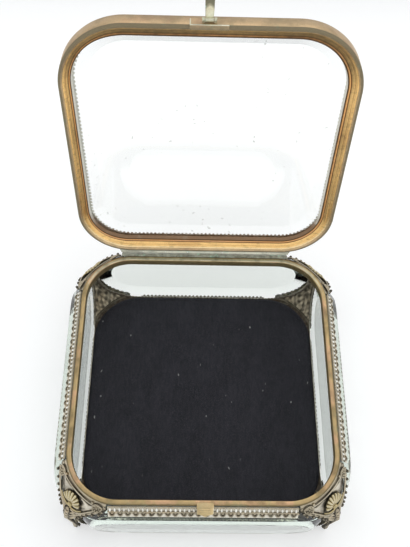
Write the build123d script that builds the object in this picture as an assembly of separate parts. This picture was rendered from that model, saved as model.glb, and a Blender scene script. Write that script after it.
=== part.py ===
from build123d import *
import math
import os

# Glass casket box with a hinged, bevelled-glass lid, shown open.
# Millimetres, +Z up, -Y is the front (hasp side), +Y the back (hinge side).
# The origin is the centre of the flat underside of the base plate.

# ---- casket body -------------------------------------------------------------
box_width = 125.0            # across the top rim, flat to flat
rim_corner_radius = 24.5     # outer corner radius of the rim and of the base
rim_face = 2.4               # width of the rim's flat top face
rim_thickness = 0.8          # thickness of that face
rim_flange_depth = 4.6       # inner flange, below the rim's top
rim_flange_thickness = 1.2
base_plate_thickness = 0.9
base_frame_height = 1.9      # ring on the base plate that carries the glass
base_frame_width = 1.7

# ---- bevelled side glass -----------------------------------------------------
panel_height = 46.5          # the panels have fully rounded ends
glass_thickness = 7.7
edge_thickness = 1.2         # what the bevel leaves at the edge
bevel_width = 8.2
glass_setback = 1.0          # inner face of the glass, in from the rim's outside
panel_end_gap = 2.1          # from a panel's end to the next panel's inner face
glass_clearance = 0.2

# ---- soft pad ----------------------------------------------------------------
pad_thickness = 0.9
pad_edge_gap = 0.4           # between the pad and the glass
pad_edge_round = 0.35
pad_corner_radius = 25.0
board_gap = 0.2

# ---- claw strips and corner mounts -------------------------------------------
# The gallery is the strip of beads and loops along the top of each side.
strip_thickness = 0.6
strip_gap = 0.15             # between pressed metal and the glass under it
gallery_overrun = 6.05       # how far it runs past the straight part of the panel
gallery_width = 5.2          # down the slope of the bevel
gallery_start = 0.9          # from the panel's edge, down the slope
claw_width = 2.3             # plain claw strip along the bottom bevel
claw_start = 0.3
mount_thickness = 0.8
mount_overlap = 1.6          # how far a mount laps over the glass
mount_gap = 0.5              # between a mount and the rounded bevel under it
mount_end_gap = 0.3          # between a mount and the strips beside it
mount_reach = 8.3            # waist past the rim's corner, along each side
mount_fullness = 1.35        # 1 is a straight slope from rim to waist, more is rounder
mount_levels = 13
foot_height = 6.5            # below the base plate
foot_depth = 3.4
foot_levels = (
    # height up the foot as a share of its length, half width, how far the face leans out
    (0.00, 3.7, 0.5),
    (0.20, 3.1, 0.0),
    (0.42, 4.4, 0.3),
    (0.68, 4.6, 0.5),
    (1.00, 2.0, -0.3),
)
foot_length = 24.0

# ---- keeper on the front -----------------------------------------------------
shield_offset = 0.8          # the shield sits a little right of the middle
shield_width = 7.5
shield_drop = 5.4            # down the slope
shield_shoulder = 3.2        # where its sides start to draw in
shield_thickness = 0.7
shield_tab_thickness = 0.35
shield_tab_length = 1.3      # on top of the rim
shield_gap = 0.1

# ---- lid ---------------------------------------------------------------------
lid_corner_radius = 28.7     # the two corners beside the hasp
lid_hinge_corner_radius = 24.5
lid_depth = 7.7              # height of the outer band
lid_band = 1.2
lid_lip = 1.5                # width of the band's flat lower edge
lid_lip_height = 0.8
lid_gap = 1.0                # between the closed lid and the rim
cove_width = 4.4             # hollow moulding inside the band
cove_height = 3.0
cove_sheet = 0.6
riser_height = 2.2           # from the cove's inner edge up to the lid glass
riser_lean = 0.4
lid_glass_inset = 1.9
lid_glass_thickness = 5.0
lid_glass_edge = 1.4
lid_bevel_width = 9.5
lid_claw_reach = 6.5         # how far the claw strip reaches in over the glass
lid_claw_thickness = 0.65

# ---- hinge -------------------------------------------------------------------
open_angle = 103.3           # lid opening, from shut
hinge_length = 87.0
centre_knuckle = 18.0        # the box's knuckle, between the lid's two
knuckle_gap = 0.2
hinge_setback = 1.9          # axis behind the rim's back
hinge_lift = 3.8             # axis above the rim's top
knuckle_radius = 1.5
pin_radius = 0.6
pin_clearance = 0.05
pin_overhang = 0.6
leaf_thickness = 0.7
leaf_gap = 0.1
lid_leaf_height = 4.0        # up from the axis
apron_drop = 4.5             # box leaf, down the slope of the back bevel

# ---- hasp --------------------------------------------------------------------
hasp_offset = -1.5           # the hasp sits a little left of the middle
hasp_plate_width = 15.0
hasp_plate_height = 5.0
hasp_plate_thickness = 0.5
hasp_fold_thickness = 0.3    # part folded under the lid's lower edge
hasp_gap = 0.05
hasp_axis_height = 2.2       # above the lid's lower edge
hasp_knuckle_radius = 0.9
hasp_pin_radius = 0.4
hasp_ear_length = 1.0
tongue_length = 11.0
tongue_width = 3.3           # at the knuckle
tongue_end_width = 3.8
tongue_thickness = 0.6

# ---- sizes that follow -------------------------------------------------------
half_width = box_width / 2
panel_bottom = base_plate_thickness + base_frame_height + glass_clearance
panel_middle = panel_bottom + panel_height / 2
panel_top = panel_bottom + panel_height
rim_top = panel_top + glass_clearance + rim_thickness
glass_inner = half_width - glass_setback
panel_half_length = glass_inner - panel_end_gap
end_radius = panel_height / 2
straight_half = panel_half_length - end_radius
gallery_length = 2 * (straight_half + gallery_overrun)
bevel_rise = (glass_thickness - edge_thickness) / bevel_width
bevel_angle = math.atan(bevel_rise)
edge_outside = glass_inner + edge_thickness
lid_under = rim_top + lid_gap
lid_glass_seat = cove_height + riser_height + glass_clearance
hinge_y = half_width + hinge_setback
hinge_z = rim_top + hinge_lift
corner_centre = half_width - rim_corner_radius
rim_corner_point = corner_centre + rim_corner_radius * math.sqrt(0.5)

SIDES = (("front", 0), ("right", 90), ("back", 180), ("left", 270))
CORNERS = (("back_right", 0), ("back_left", 90), ("front_left", 180), ("front_right", 270))

os.makedirs("parts", exist_ok=True)


def save(shape, name):
    """Write one node, labelled with its own name."""
    shape.label = name
    export_step(shape, f"parts/{name}.step")


def turned(shape, degrees):
    """Turn a piece about the box's upright axis."""
    return Rot(0, 0, degrees) * shape


def corner_loop(half, radii):
    """Rounded square as a line. The radii are one value, or the front's and the back's."""
    front, back = radii if isinstance(radii, tuple) else (radii, radii)
    corners = [(-half, -half), (half, -half), (half, half), (-half, half)]
    return FilletPolyline(*corners, radius=[front, front, back, back], close=True)


def outline(half, radii):
    """Rounded square, as a face at height 0."""
    return make_face(corner_loop(half, radii))


def slab(half, radii, low, high):
    """Rounded-square plate between two heights."""
    return Pos(0, 0, low) * extrude(outline(half, radii), high - low, dir=(0, 0, 1))


def tapered(half_low, radii_low, low, half_high, radii_high, high):
    """Rounded-square plate whose sides slope."""
    bottom = Pos(0, 0, low) * outline(half_low, radii_low)
    top = Pos(0, 0, high) * outline(half_high, radii_high)
    return loft([bottom.face(), top.face()], ruled=True)


def ring(half, radii, level, points):
    """Moulding of constant section round a rounded square.

    The points are (distance in from the outline, height above the level).
    """
    path = Pos(0, 0, level) * corner_loop(half, radii)
    start = path.wire() @ 0
    tangent = path.wire() % 0
    inward = Vector(0, 0, 1).cross(tangent)
    if (Vector(0, 0, level) - start).dot(inward) < 0:
        inward = -inward
        tangent = -tangent
    section = Plane(origin=start, x_dir=inward, z_dir=tangent) * make_face(
        Polyline(*points, close=True)
    )
    return sweep(section, path=path)


def bar(points, length):
    """Prism along X with the given (out, up) section on the front side."""
    face = make_face(Polyline(*[(0, -out, up) for out, up in points], close=True))
    return extrude(face, length / 2, dir=(1, 0, 0), both=True)


def on_bevel(down, off, lower=False):
    """Point beside the bevel of a side panel, as (out, up).

    down is measured along the slope from the panel's edge, off is square to it.
    """
    out = edge_outside + down * math.sin(bevel_angle) + off * math.cos(bevel_angle)
    drop = down * math.cos(bevel_angle) - off * math.sin(bevel_angle)
    return (out, panel_bottom + drop) if lower else (out, panel_top - drop)


def slope_strip(start, width, near, far, lower=False):
    """Section of a flat strip that lies along the bevel."""
    return [
        on_bevel(start, near, lower),
        on_bevel(start + width, near, lower),
        on_bevel(start + width, far, lower),
        on_bevel(start, far, lower),
    ]


# ---- base, rim and pad -------------------------------------------------------
def base_plate():
    return slab(half_width, rim_corner_radius, 0, base_plate_thickness)


def base_frame():
    low = base_plate_thickness
    high = low + base_frame_height
    outer = slab(half_width, rim_corner_radius, low, high)
    inside = slab(
        half_width - base_frame_width, rim_corner_radius - base_frame_width, low, high
    )
    return outer - inside


def top_rim():
    section = [
        (0, 0),
        (rim_face, 0),
        (rim_face, -rim_flange_depth),
        (rim_face - rim_flange_thickness, -rim_flange_depth),
        (rim_face - rim_flange_thickness, -rim_thickness),
        (0, -rim_thickness),
    ]
    return ring(half_width, rim_corner_radius, rim_top, section)


def pad_board():
    half = half_width - base_frame_width - board_gap
    radius = rim_corner_radius - base_frame_width - board_gap
    low = base_plate_thickness
    return slab(half, radius, low, low + base_frame_height)


def velvet_pad():
    low = base_plate_thickness + base_frame_height
    pad = slab(glass_inner - pad_edge_gap, pad_corner_radius, low, low + pad_thickness)
    return fillet(pad.faces().sort_by(Axis.Z)[-1].edges(), pad_edge_round)


# ---- side glass --------------------------------------------------------------
def side_glass():
    """Front panel: a plate with round ends, bevelled all round its outer face."""
    inner = Plane(
        origin=(0, -glass_inner, panel_middle), x_dir=(1, 0, 0), z_dir=(0, -1, 0)
    )
    edge = inner.offset(edge_thickness)
    face = inner.offset(glass_thickness)
    full = SlotOverall(2 * panel_half_length, panel_height)
    field = SlotOverall(
        2 * (panel_half_length - bevel_width), panel_height - 2 * bevel_width
    )
    plate = extrude(inner * full, edge_thickness)
    bevel = loft([(edge * full).face(), (face * field).face()], ruled=True)
    return plate + bevel


# ---- claw strips -------------------------------------------------------------
def gallery():
    near = strip_gap
    far = strip_gap + strip_thickness
    return bar(slope_strip(gallery_start, gallery_width, near, far), gallery_length)


def lower_claws():
    near = strip_gap
    far = strip_gap + strip_thickness
    section = slope_strip(claw_start, claw_width, near, far, lower=True)
    return bar(section, 2 * straight_half)


# ---- corner mounts -----------------------------------------------------------
def mount_section(level):
    """Section of the back right mount at one height: a bent strip round the corner."""
    rise = min(abs(level - panel_middle), end_radius)
    glass_end = straight_half + math.sqrt(end_radius**2 - rise**2)
    lap = end_radius - mount_overlap
    lap_end = straight_half + math.sqrt(max(lap**2 - rise**2, 0))
    lap_end = max(lap_end, gallery_length / 2 + mount_end_gap)
    past_straight = max(lap_end - straight_half, 0)
    depth = max(end_radius - math.hypot(past_straight, rise), 0)
    lap_out = edge_outside + depth * bevel_rise + mount_gap
    turn_out = edge_outside + mount_gap
    turn_end = max(glass_end + strip_gap, lap_end + mount_thickness)
    spread = 1 - (rise / end_radius) ** mount_fullness
    diagonal = rim_corner_point + mount_reach * spread
    inner_diagonal = diagonal - mount_thickness * math.sqrt(0.5)
    t = mount_thickness
    inner_arc = ThreePointArc(
        (turn_out, turn_end), (inner_diagonal, inner_diagonal), (turn_end, turn_out)
    )
    outer_arc = ThreePointArc(
        (turn_end, turn_out + t), (diagonal, diagonal), (turn_out + t, turn_end)
    )
    edges = [
        Line((lap_out, lap_end), (turn_out, turn_end)),
        inner_arc,
        Line((turn_end, turn_out), (lap_end, lap_out)),
        Line((lap_end, lap_out), (lap_end, lap_out + t)),
        Line((lap_end, lap_out + t), (turn_end, turn_out + t)),
        outer_arc,
        Line((turn_out + t, turn_end), (lap_out + t, lap_end)),
        Line((lap_out + t, lap_end), (lap_out, lap_end)),
    ]
    return Pos(0, 0, level) * make_face(Wire(edges))


def foot_section(share, half, lean):
    """Section of a foot at one height, with a rounded face on the diagonal."""
    bow = 0.35 * half
    middle = rim_corner_point + mount_reach + (lean - bow) * math.sqrt(0.5)
    shape = make_face(
        [
            ThreePointArc((-half, 0), (0, bow), (half, 0)),
            Line((half, 0), (half, -foot_depth)),
            Line((half, -foot_depth), (-half, -foot_depth)),
            Line((-half, -foot_depth), (-half, 0)),
        ]
    )
    level = share * foot_length - foot_height
    return Pos(middle, middle, level) * Rot(0, 0, -45) * shape


def corner_mount():
    """Back right mount: pressed sheet between two panel ends, with its leaf foot."""
    gaps = mount_levels - 1
    levels = [panel_bottom + panel_height * i / gaps for i in range(mount_levels)]
    sheet = loft([mount_section(level).face() for level in levels], ruled=True)
    foot = loft([foot_section(*level).face() for level in foot_levels], ruled=True)
    return sheet + foot


# ---- keeper ------------------------------------------------------------------
def keeper_shield():
    near = strip_gap + strip_thickness + shield_gap
    far = near + shield_thickness
    tab_low = rim_top + shield_gap
    tab_high = tab_low + shield_tab_thickness
    run = math.cos(bevel_angle)
    lift = math.sin(bevel_angle)
    near_start = (panel_top + near * lift - tab_low) / run
    far_start = (panel_top + far * lift - tab_high) / run
    section = [
        (half_width - shield_tab_length, tab_low),
        on_bevel(near_start, near),
        on_bevel(shield_drop, near),
        on_bevel(shield_drop, far),
        on_bevel(far_start, far),
        (half_width - shield_tab_length, tab_high),
    ]
    plate = bar(section, shield_width)
    out, up = on_bevel(0, 0)
    half = shield_width / 2
    slope = Plane(
        origin=(0, -out, up),
        x_dir=(1, 0, 0),
        z_dir=(0, -math.cos(bevel_angle), math.sin(bevel_angle)),
    )
    shape = make_face(
        Polyline(
            (-half, 9), (-half, -shield_shoulder), (0, -shield_drop),
            (half, -shield_shoulder), (half, 9), close=True,
        )
    )
    return Pos(shield_offset, 0, 0) * (plate & extrude(slope * shape, 9, both=True))


# ---- lid, modelled shut and then opened --------------------------------------
def opened(shape):
    """Swing a piece of the shut lid to the open position."""
    axis = Axis((0, hinge_y, hinge_z), (1, 0, 0))
    return shape.rotate(axis, -open_angle)


def lid_radii(inset=0.0):
    return (lid_corner_radius - inset, lid_hinge_corner_radius - inset)


def lid_frame():
    section = [
        (0, 0),
        (lid_lip, 0),
        (lid_lip, lid_lip_height),
        (lid_band, lid_lip_height),
        (lid_band, lid_depth),
        (0, lid_depth),
    ]
    return ring(half_width, lid_radii(), lid_under, section)


def lid_moulding():
    """Hollow cove between the band's lip and the riser under the glass."""
    left = lid_lip + leaf_gap
    right = left + cove_width
    top = cove_height + riser_height
    foot = lid_lip_height + leaf_gap
    bend = left + 0.4 * cove_width
    hollow = 0.7 * cove_height
    section = [
        (left, leaf_gap),
        (bend, hollow),
        (right, cove_height),
        (right + riser_lean, top),
        (right + riser_lean - cove_sheet, top),
        (right - cove_sheet, cove_height + cove_sheet),
        (bend - 0.5 * cove_sheet, hollow + cove_sheet),
        (left - 0.5 * leaf_gap, foot + cove_sheet),
    ]
    return ring(half_width, lid_radii(), lid_under, section)


def lid_glass():
    low = lid_under + lid_glass_seat
    edge = low + lid_glass_edge
    half = half_width - lid_glass_inset
    field_inset = lid_glass_inset + lid_bevel_width
    plate = slab(half, lid_radii(lid_glass_inset), low, edge)
    bevel = tapered(
        half, lid_radii(lid_glass_inset), edge,
        half_width - field_inset, lid_radii(field_inset), low + lid_glass_thickness,
    )
    return plate + bevel


def lid_claws():
    """Claw strip that folds from the band's top over the bevel of the lid glass."""
    slope = (lid_glass_thickness - lid_glass_edge) / lid_bevel_width
    over = slope * (lid_claw_reach - lid_glass_inset)
    tip = lid_glass_seat + lid_glass_edge + over + strip_gap
    start = lid_depth + leaf_gap / 2
    tip = max(tip, start)
    section = [
        (0.2, start),
        (lid_glass_inset, start),
        (lid_claw_reach, tip),
        (lid_claw_reach, tip + lid_claw_thickness),
        (0.2, start + lid_claw_thickness),
    ]
    return ring(half_width, lid_radii(), lid_under, section)


# ---- hinge -------------------------------------------------------------------
def tube(length, outer, bore, middle=(0, 0, 0)):
    """Knuckle along X."""
    body = Cylinder(outer, length, rotation=(0, 90, 0))
    hole = Cylinder(bore, length * 2, rotation=(0, 90, 0))
    return Pos(*middle) * (body - hole)


side_knuckle = (hinge_length - centre_knuckle) / 2 - knuckle_gap
side_knuckle_x = (hinge_length - side_knuckle) / 2
pin_bore = pin_radius + pin_clearance


def back_bar(points, length):
    """Prism along X with the given (out, up) section on the back side."""
    return turned(bar(points, length), 180)


def hinge_box_leaf():
    """Apron over the back gallery, a web and the middle knuckle."""
    near = strip_gap + strip_thickness + shield_gap + 0.15
    far = near + leaf_thickness
    low = panel_top + glass_clearance + 0.05
    high = rim_top - 0.05
    run = math.cos(bevel_angle)
    lift = math.sin(bevel_angle)
    near_start = (panel_top + near * lift - low) / run
    far_start = (panel_top + far * lift - high) / run
    apron = [
        (half_width + leaf_gap, high),
        (half_width + leaf_gap, low),
        on_bevel(near_start, near),
        on_bevel(apron_drop, near),
        on_bevel(apron_drop, far),
        on_bevel(far_start, far),
    ]
    web_in = hinge_y - 1.0
    web = [
        (web_in, rim_top - 0.4),
        (hinge_y, rim_top - 0.4),
        (hinge_y, hinge_z - knuckle_radius / 2),
        (web_in, hinge_z - knuckle_radius / 2),
    ]
    knuckle = tube(centre_knuckle, knuckle_radius, pin_bore, (0, hinge_y, hinge_z))
    hole = tube(centre_knuckle, pin_bore, pin_bore / 2, (0, hinge_y, hinge_z))
    leaf = back_bar(apron, hinge_length) + (back_bar(web, centre_knuckle) - hole)
    return leaf + knuckle


def hinge_lid_leaf():
    """Leaf on the back of the shut lid with the two outer knuckles."""
    front = half_width + leaf_gap
    back = front + leaf_thickness
    low = hinge_z
    high = low + lid_leaf_height
    plate = back_bar([(front, low), (back, low), (back, high), (front, high)], hinge_length)
    notch = centre_knuckle + 2 * knuckle_gap
    notch_top = hinge_z + knuckle_radius + knuckle_gap
    window = [
        (front - 1, low - 1), (back + 1, low - 1), (back + 1, notch_top), (front - 1, notch_top)
    ]
    leaf = plate - back_bar(window, notch)
    for side in (-1, 1):
        place = (side * side_knuckle_x, hinge_y, hinge_z)
        leaf = leaf - Pos(*place) * Cylinder(pin_bore, side_knuckle, rotation=(0, 90, 0))
        leaf = leaf + tube(side_knuckle, knuckle_radius, pin_bore, place)
    return leaf


def hinge_pin():
    length = hinge_length + 2 * pin_overhang
    return Pos(0, hinge_y, hinge_z) * Cylinder(pin_radius, length, rotation=(0, 90, 0))


# ---- hasp --------------------------------------------------------------------
hasp_face = half_width + hasp_gap + hasp_plate_thickness
hasp_y = -(hasp_face + hasp_knuckle_radius + 0.1)
hasp_z = lid_under + hasp_axis_height
hasp_bore = hasp_pin_radius + pin_clearance
hasp_span = tongue_width + 2 * (hasp_ear_length + knuckle_gap)


def hasp_bracket():
    """Plate folded round the lid's lower front edge, with two ears for the pin."""
    inside = half_width + hasp_gap
    section = [
        (inside - lid_lip, lid_under - hasp_gap),
        (inside, lid_under - hasp_gap),
        (inside, lid_under + hasp_plate_height),
        (hasp_face, lid_under + hasp_plate_height),
        (hasp_face, lid_under - hasp_gap - hasp_fold_thickness),
        (inside - lid_lip, lid_under - hasp_gap - hasp_fold_thickness),
    ]
    plate = bar(section, hasp_plate_width)
    ear_x = (hasp_span - hasp_ear_length) / 2
    for side in (-1, 1):
        place = (side * ear_x, hasp_y, hasp_z)
        root = Pos(side * ear_x, (hasp_y - hasp_face) / 2, hasp_z) * Box(
            hasp_ear_length, -hasp_y - hasp_face, 1.2 * hasp_knuckle_radius
        )
        hole = Pos(*place) * Cylinder(hasp_bore, hasp_ear_length, rotation=(0, 90, 0))
        plate = plate + (root - hole)
        plate = plate + tube(hasp_ear_length, hasp_knuckle_radius, hasp_bore, place)
    return plate


def hasp_pin():
    return Pos(0, hasp_y, hasp_z) * Cylinder(hasp_pin_radius, hasp_span, rotation=(0, 90, 0))


def hasp_tongue():
    """Tongue that points straight out of the lid's front, tangent to its knuckle."""
    high = hasp_z + hasp_knuckle_radius
    low = high - tongue_thickness
    start = hasp_y
    end = hasp_y - tongue_length
    tip = tongue_end_width / 2
    root = tongue_width / 2
    shape = make_face(
        [
            Line((root, start), (tip, end + tip)),
            ThreePointArc((tip, end + tip), (0, end), (-tip, end + tip)),
            Line((-tip, end + tip), (-root, start)),
            Line((-root, start), (root, start)),
        ]
    )
    blade = Pos(0, 0, low) * extrude(shape, tongue_thickness)
    hole = Pos(0, hasp_y, hasp_z) * Cylinder(hasp_bore, tongue_width, rotation=(0, 90, 0))
    knuckle = tube(tongue_width, hasp_knuckle_radius, hasp_bore, (0, hasp_y, hasp_z))
    return (blade - hole) + knuckle


save(base_plate(), "base_plate")
save(base_frame(), "base_frame")
save(top_rim(), "top_rim")
save(pad_board(), "pad_board")
save(velvet_pad(), "velvet_pad")

for side, degrees in SIDES:
    save(turned(side_glass(), degrees), f"glass_{side}")
    save(turned(gallery(), degrees), f"gallery_{side}")
    save(turned(lower_claws(), degrees), f"lower_claws_{side}")

for corner, degrees in CORNERS:
    save(turned(corner_mount(), degrees), f"corner_mount_{corner}")

save(keeper_shield(), "keeper_shield")
save(hinge_box_leaf(), "hinge_box_leaf")
save(hinge_pin(), "hinge_pin")

save(opened(lid_frame()), "lid_frame")
save(opened(lid_moulding()), "lid_moulding")
save(opened(lid_glass()), "lid_glass")
save(opened(lid_claws()), "lid_claws")
save(opened(hinge_lid_leaf()), "hinge_lid_leaf")
hasp_place = Pos(hasp_offset, 0, 0)
save(opened(hasp_place * hasp_bracket()), "hasp_bracket")
save(opened(hasp_place * hasp_pin()), "hasp_pin")
save(opened(hasp_place * hasp_tongue()), "hasp_tongue")
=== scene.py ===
import math
import random

import bpy
import numpy as np
from mathutils import Matrix, Vector


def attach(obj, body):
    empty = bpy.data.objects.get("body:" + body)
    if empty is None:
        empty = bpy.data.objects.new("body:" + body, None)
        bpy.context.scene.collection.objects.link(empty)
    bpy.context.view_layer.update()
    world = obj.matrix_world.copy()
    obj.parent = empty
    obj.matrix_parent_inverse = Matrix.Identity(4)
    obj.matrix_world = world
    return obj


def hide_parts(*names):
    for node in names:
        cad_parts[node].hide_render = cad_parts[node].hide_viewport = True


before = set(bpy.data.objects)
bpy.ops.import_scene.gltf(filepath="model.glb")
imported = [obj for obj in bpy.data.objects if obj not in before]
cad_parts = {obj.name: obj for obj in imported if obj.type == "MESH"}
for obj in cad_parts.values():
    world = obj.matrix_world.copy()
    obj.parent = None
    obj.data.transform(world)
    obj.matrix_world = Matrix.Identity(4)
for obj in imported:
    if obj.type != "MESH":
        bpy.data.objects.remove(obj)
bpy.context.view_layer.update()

# All sizes below are millimetres in the frame's own axes and become metres when a mesh is made.
MM = 0.001
PI = math.pi

# ---- sizes of the casket -----------------------------------------------------
HALF = 62.5                 # rim and lid, centre to outside
RIM_TOP = 50.5
RIM_RADIUS = 24.5
RIM_FACE = 2.4
BASE_TOP = 2.8
FLOOR = -6.5
PANEL_LOW = 3.0
PANEL_HEIGHT = 46.5
PANEL_TOP = PANEL_LOW + PANEL_HEIGHT
PANEL_MIDDLE = PANEL_LOW + PANEL_HEIGHT / 2
PANEL_HALF = 59.4
GLASS_INNER = 61.5
GLASS_THICK = 7.7
GLASS_EDGE = 1.2
BEVEL_WIDTH = 8.2
END_RADIUS = PANEL_HEIGHT / 2
STRAIGHT = PANEL_HALF - END_RADIUS
BEVEL_RISE = (GLASS_THICK - GLASS_EDGE) / BEVEL_WIDTH
BEVEL_ANGLE = math.atan(BEVEL_RISE)
EDGE_OUT = GLASS_INNER + GLASS_EDGE
GALLERY_HALF = 42.2
MOUNT_GAP = 0.5
MOUNT_REACH = 8.3
MOUNT_SHEET = 0.8
MOUNT_FULLNESS = 1.35       # 1 is a straight slope from rim to waist, more is rounder
CORNER_CENTRE = HALF - RIM_RADIUS
RIM_CORNER = CORNER_CENTRE + RIM_RADIUS * math.sqrt(0.5)

# ---- sizes of the lid --------------------------------------------------------
LID_UNDER = RIM_TOP + 1.0
LID_RADII = (28.7, 24.5)    # corners beside the hasp, corners beside the hinge
LID_DEPTH = 7.7
LID_GLASS_LOW = 5.4         # above the lid's lower edge
LID_GLASS_INSET = 1.9
LID_BEVEL = 9.5
LID_GLASS_EDGE = 1.4
LID_GLASS_THICK = 5.0
HINGE_Y = 64.4
HINGE_Z = 54.3
OPEN_ANGLE = 103.3
HINGE_HALF = 43.5
KNUCKLE = 1.5
HINGE_PIN = 0.6
HASP_X = -1.5               # fitted, a little off the middle
KEEPER_X = 0.8
HASP_Y = -64.05
HASP_Z = LID_UNDER + 2.2
HASP_HALF = 7.5
HASP_KNUCKLE = 0.9
HASP_PIN = 0.4
TONGUE_HALF = 1.6
TONGUE_LENGTH = 11.0

SIDES = {"front": 0, "right": 90, "back": 180, "left": 270}
CORNERS = {"back_right": 0, "back_left": 90, "front_left": 180, "front_right": 270}


# ---- mesh building -----------------------------------------------------------
class Shape:
    """Vertices and faces of one piece, gathered from many small forms."""

    def __init__(self):
        self.points = []
        self.faces = []
        self.tones = []
        self.count = 0

    def add(self, points, faces, tone=0.5):
        """Tone is 0 in a hollow and 1 where the form stands proud. Low tone also stands for painted shade in hollows
        and tone above about 1.15 for painted highlights; some pieces scale it by side or place as painted light and
        shade.
        """
        points = np.asarray(points, float).reshape(-1, 3)
        self.points.append(points)
        self.tones.append(np.broadcast_to(np.asarray(tone, float), (len(points),)).copy())
        self.faces += [tuple(int(i) + self.count for i in f) for f in faces]
        self.count += len(points)

    def all_points(self):
        return np.concatenate(self.points)


def make_piece(
    name, shape, body, material, replaces=(), sharp=40.0, thick=0.0, move=None
):
    """Turn a shape into a Blender object that rides on a body, with its points passed through move."""
    points = shape.all_points()
    if move is not None:
        points = move(points)
    mesh = bpy.data.meshes.new(name)
    mesh.from_pydata((points * MM).tolist(), [], shape.faces)
    mesh.validate()
    tone = mesh.attributes.new("tone", "FLOAT", "POINT")
    tone.data.foreach_set("value", np.concatenate(shape.tones).astype(np.float32))
    mesh.shade_smooth()
    if sharp < 179:
        mesh.set_sharp_from_angle(angle=math.radians(sharp))
    mesh.materials.append(material)
    piece = bpy.data.objects.new(name, mesh)
    bpy.context.scene.collection.objects.link(piece)
    if thick:
        solid = piece.modifiers.new("sheet", "SOLIDIFY")
        solid.thickness = thick * MM
        solid.offset = -1.0
    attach(piece, body)
    if replaces:
        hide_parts(*replaces)
    return piece


def turn(points, degrees):
    """Turn points about the upright axis."""
    a = math.radians(degrees)
    c, s = math.cos(a), math.sin(a)
    p = np.asarray(points, float)
    return np.stack([p[..., 0] * c - p[..., 1] * s, p[..., 0] * s + p[..., 1] * c, p[..., 2]], -1)


def opened(points):
    """Swing points of the shut lid to the open position."""
    a = math.radians(-OPEN_ANGLE)
    c, s = math.cos(a), math.sin(a)
    p = np.asarray(points, float)
    y, z = p[..., 1] - HINGE_Y, p[..., 2] - HINGE_Z
    return np.stack([p[..., 0], y * c - z * s + HINGE_Y, y * s + z * c + HINGE_Z], -1)


def grid_faces(rows, columns, closed_rows=False, closed_columns=False):
    """Quads of a grid of points stored row by row."""
    faces = []
    for i in range(rows if closed_rows else rows - 1):
        for j in range(columns if closed_columns else columns - 1):
            a = i * columns + j
            b = i * columns + (j + 1) % columns
            c = ((i + 1) % rows) * columns + (j + 1) % columns
            d = ((i + 1) % rows) * columns + j
            faces.append((a, b, c, d))
    return faces


def rounded_square(half, radii, step=2.0, corner=20):
    """Points round a rounded square, anticlockwise, with the outward direction at each.

    Radii is one value, or one for the front corners and one for the back corners.
    """
    front, back = radii if isinstance(radii, tuple) else (radii, radii)
    order = (back, back, front, front)
    points, outward = [], []
    for quarter in range(4):
        a0 = quarter * PI / 2
        c0, s0 = math.cos(a0), math.sin(a0)
        low, radius = order[quarter - 1] - half, order[quarter]
        high = half - radius
        sides = max(2, int((high - low) / step))
        for i in range(sides):
            t = low + (high - low) * i / sides
            points.append((half * c0 - t * s0, half * s0 + t * c0))
            outward.append((c0, s0))
        centre = (high * (c0 - s0), high * (s0 + c0))
        for i in range(corner):
            a = a0 + PI / 2 * i / corner
            points.append((centre[0] + radius * math.cos(a), centre[1] + radius * math.sin(a)))
            outward.append((math.cos(a), math.sin(a)))
    return np.array(points), np.array(outward)


def swept_ring(
    shape, half, radii, level, section, tones, step=2.0, corner=20, wave=0.0, seed=0,
    shade=None, pull=None,
):
    """Moulding round a rounded square. The section is (inset, height) points of a closed loop.

    Shade scales the tones by the place on the path, and pull moves the inner edge in or out there.
    """
    path, out = rounded_square(half, radii, step, corner)
    rnd = np.random.default_rng(seed)
    n, m = len(path), len(section)
    drift = np.zeros(n)
    for k in range(3, 16):
        drift += np.sin(np.arange(n) * 2 * PI * k / n + rnd.uniform(0, 6.28)) * rnd.uniform(0.3, 1) / k
    points = np.zeros((n, m, 3))
    moved = np.zeros(n) if pull is None else pull(path)
    for j, (inset, height) in enumerate(section):
        across = inset + wave * drift * 0.4 + moved * min(max((inset - 2.4) / 3.6, 0.0), 1.0)
        points[:, j, :2] = path - out * across[:, None]
        points[:, j, 2] = level + height + wave * drift
    tone = np.broadcast_to(np.asarray(tones, float), (n, m))
    if shade is not None:
        tone = tone * shade(path)[:, None]
    shape.add(points, grid_faces(n, m, True, True), tone.reshape(-1))


def tube(shape, points, radii, sides=8, ups=None, flat=1.0, closed=False, tone=(0.2, 0.9)):
    """Tapered round rod along points. Ups are the directions that flat applies to. Tone goes from the first value on
    the side away from up to the second on the side towards up: painted shade below, painted light on top.
    """
    p = np.asarray(points, float)
    n = len(p)
    r = np.broadcast_to(np.asarray(radii, float), (n,))
    if closed:
        along = np.roll(p, -1, 0) - np.roll(p, 1, 0)
    else:
        along = np.gradient(p, axis=0)
    along /= np.linalg.norm(along, axis=1, keepdims=True) + 1e-12
    if ups is None:
        up = np.broadcast_to(np.array([0.0, 0.0, 1.0]), (n, 3))
    else:
        up = np.broadcast_to(np.asarray(ups, float), (n, 3))
    side = np.cross(along, up)
    side /= np.linalg.norm(side, axis=1, keepdims=True) + 1e-12
    up = np.cross(side, along)
    a = np.arange(sides) * 2 * PI / sides
    ring = (
        p[:, None, :]
        + side[:, None, :] * (r[:, None] * np.cos(a))[..., None]
        + up[:, None, :] * (r[:, None] * flat * np.sin(a))[..., None]
    )
    tones = tone[0] + (tone[1] - tone[0]) * (np.sin(a) * 0.5 + 0.5)
    tones = np.broadcast_to(tones, (n, sides)).reshape(-1)
    faces = grid_faces(n, sides, closed, True)
    faces = [f[::-1] for f in faces]
    if not closed:
        faces.append(tuple(range(sides)))
        faces.append(tuple((n - 1) * sides + i for i in range(sides))[::-1])
    shape.add(ring, faces, tones)


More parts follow.
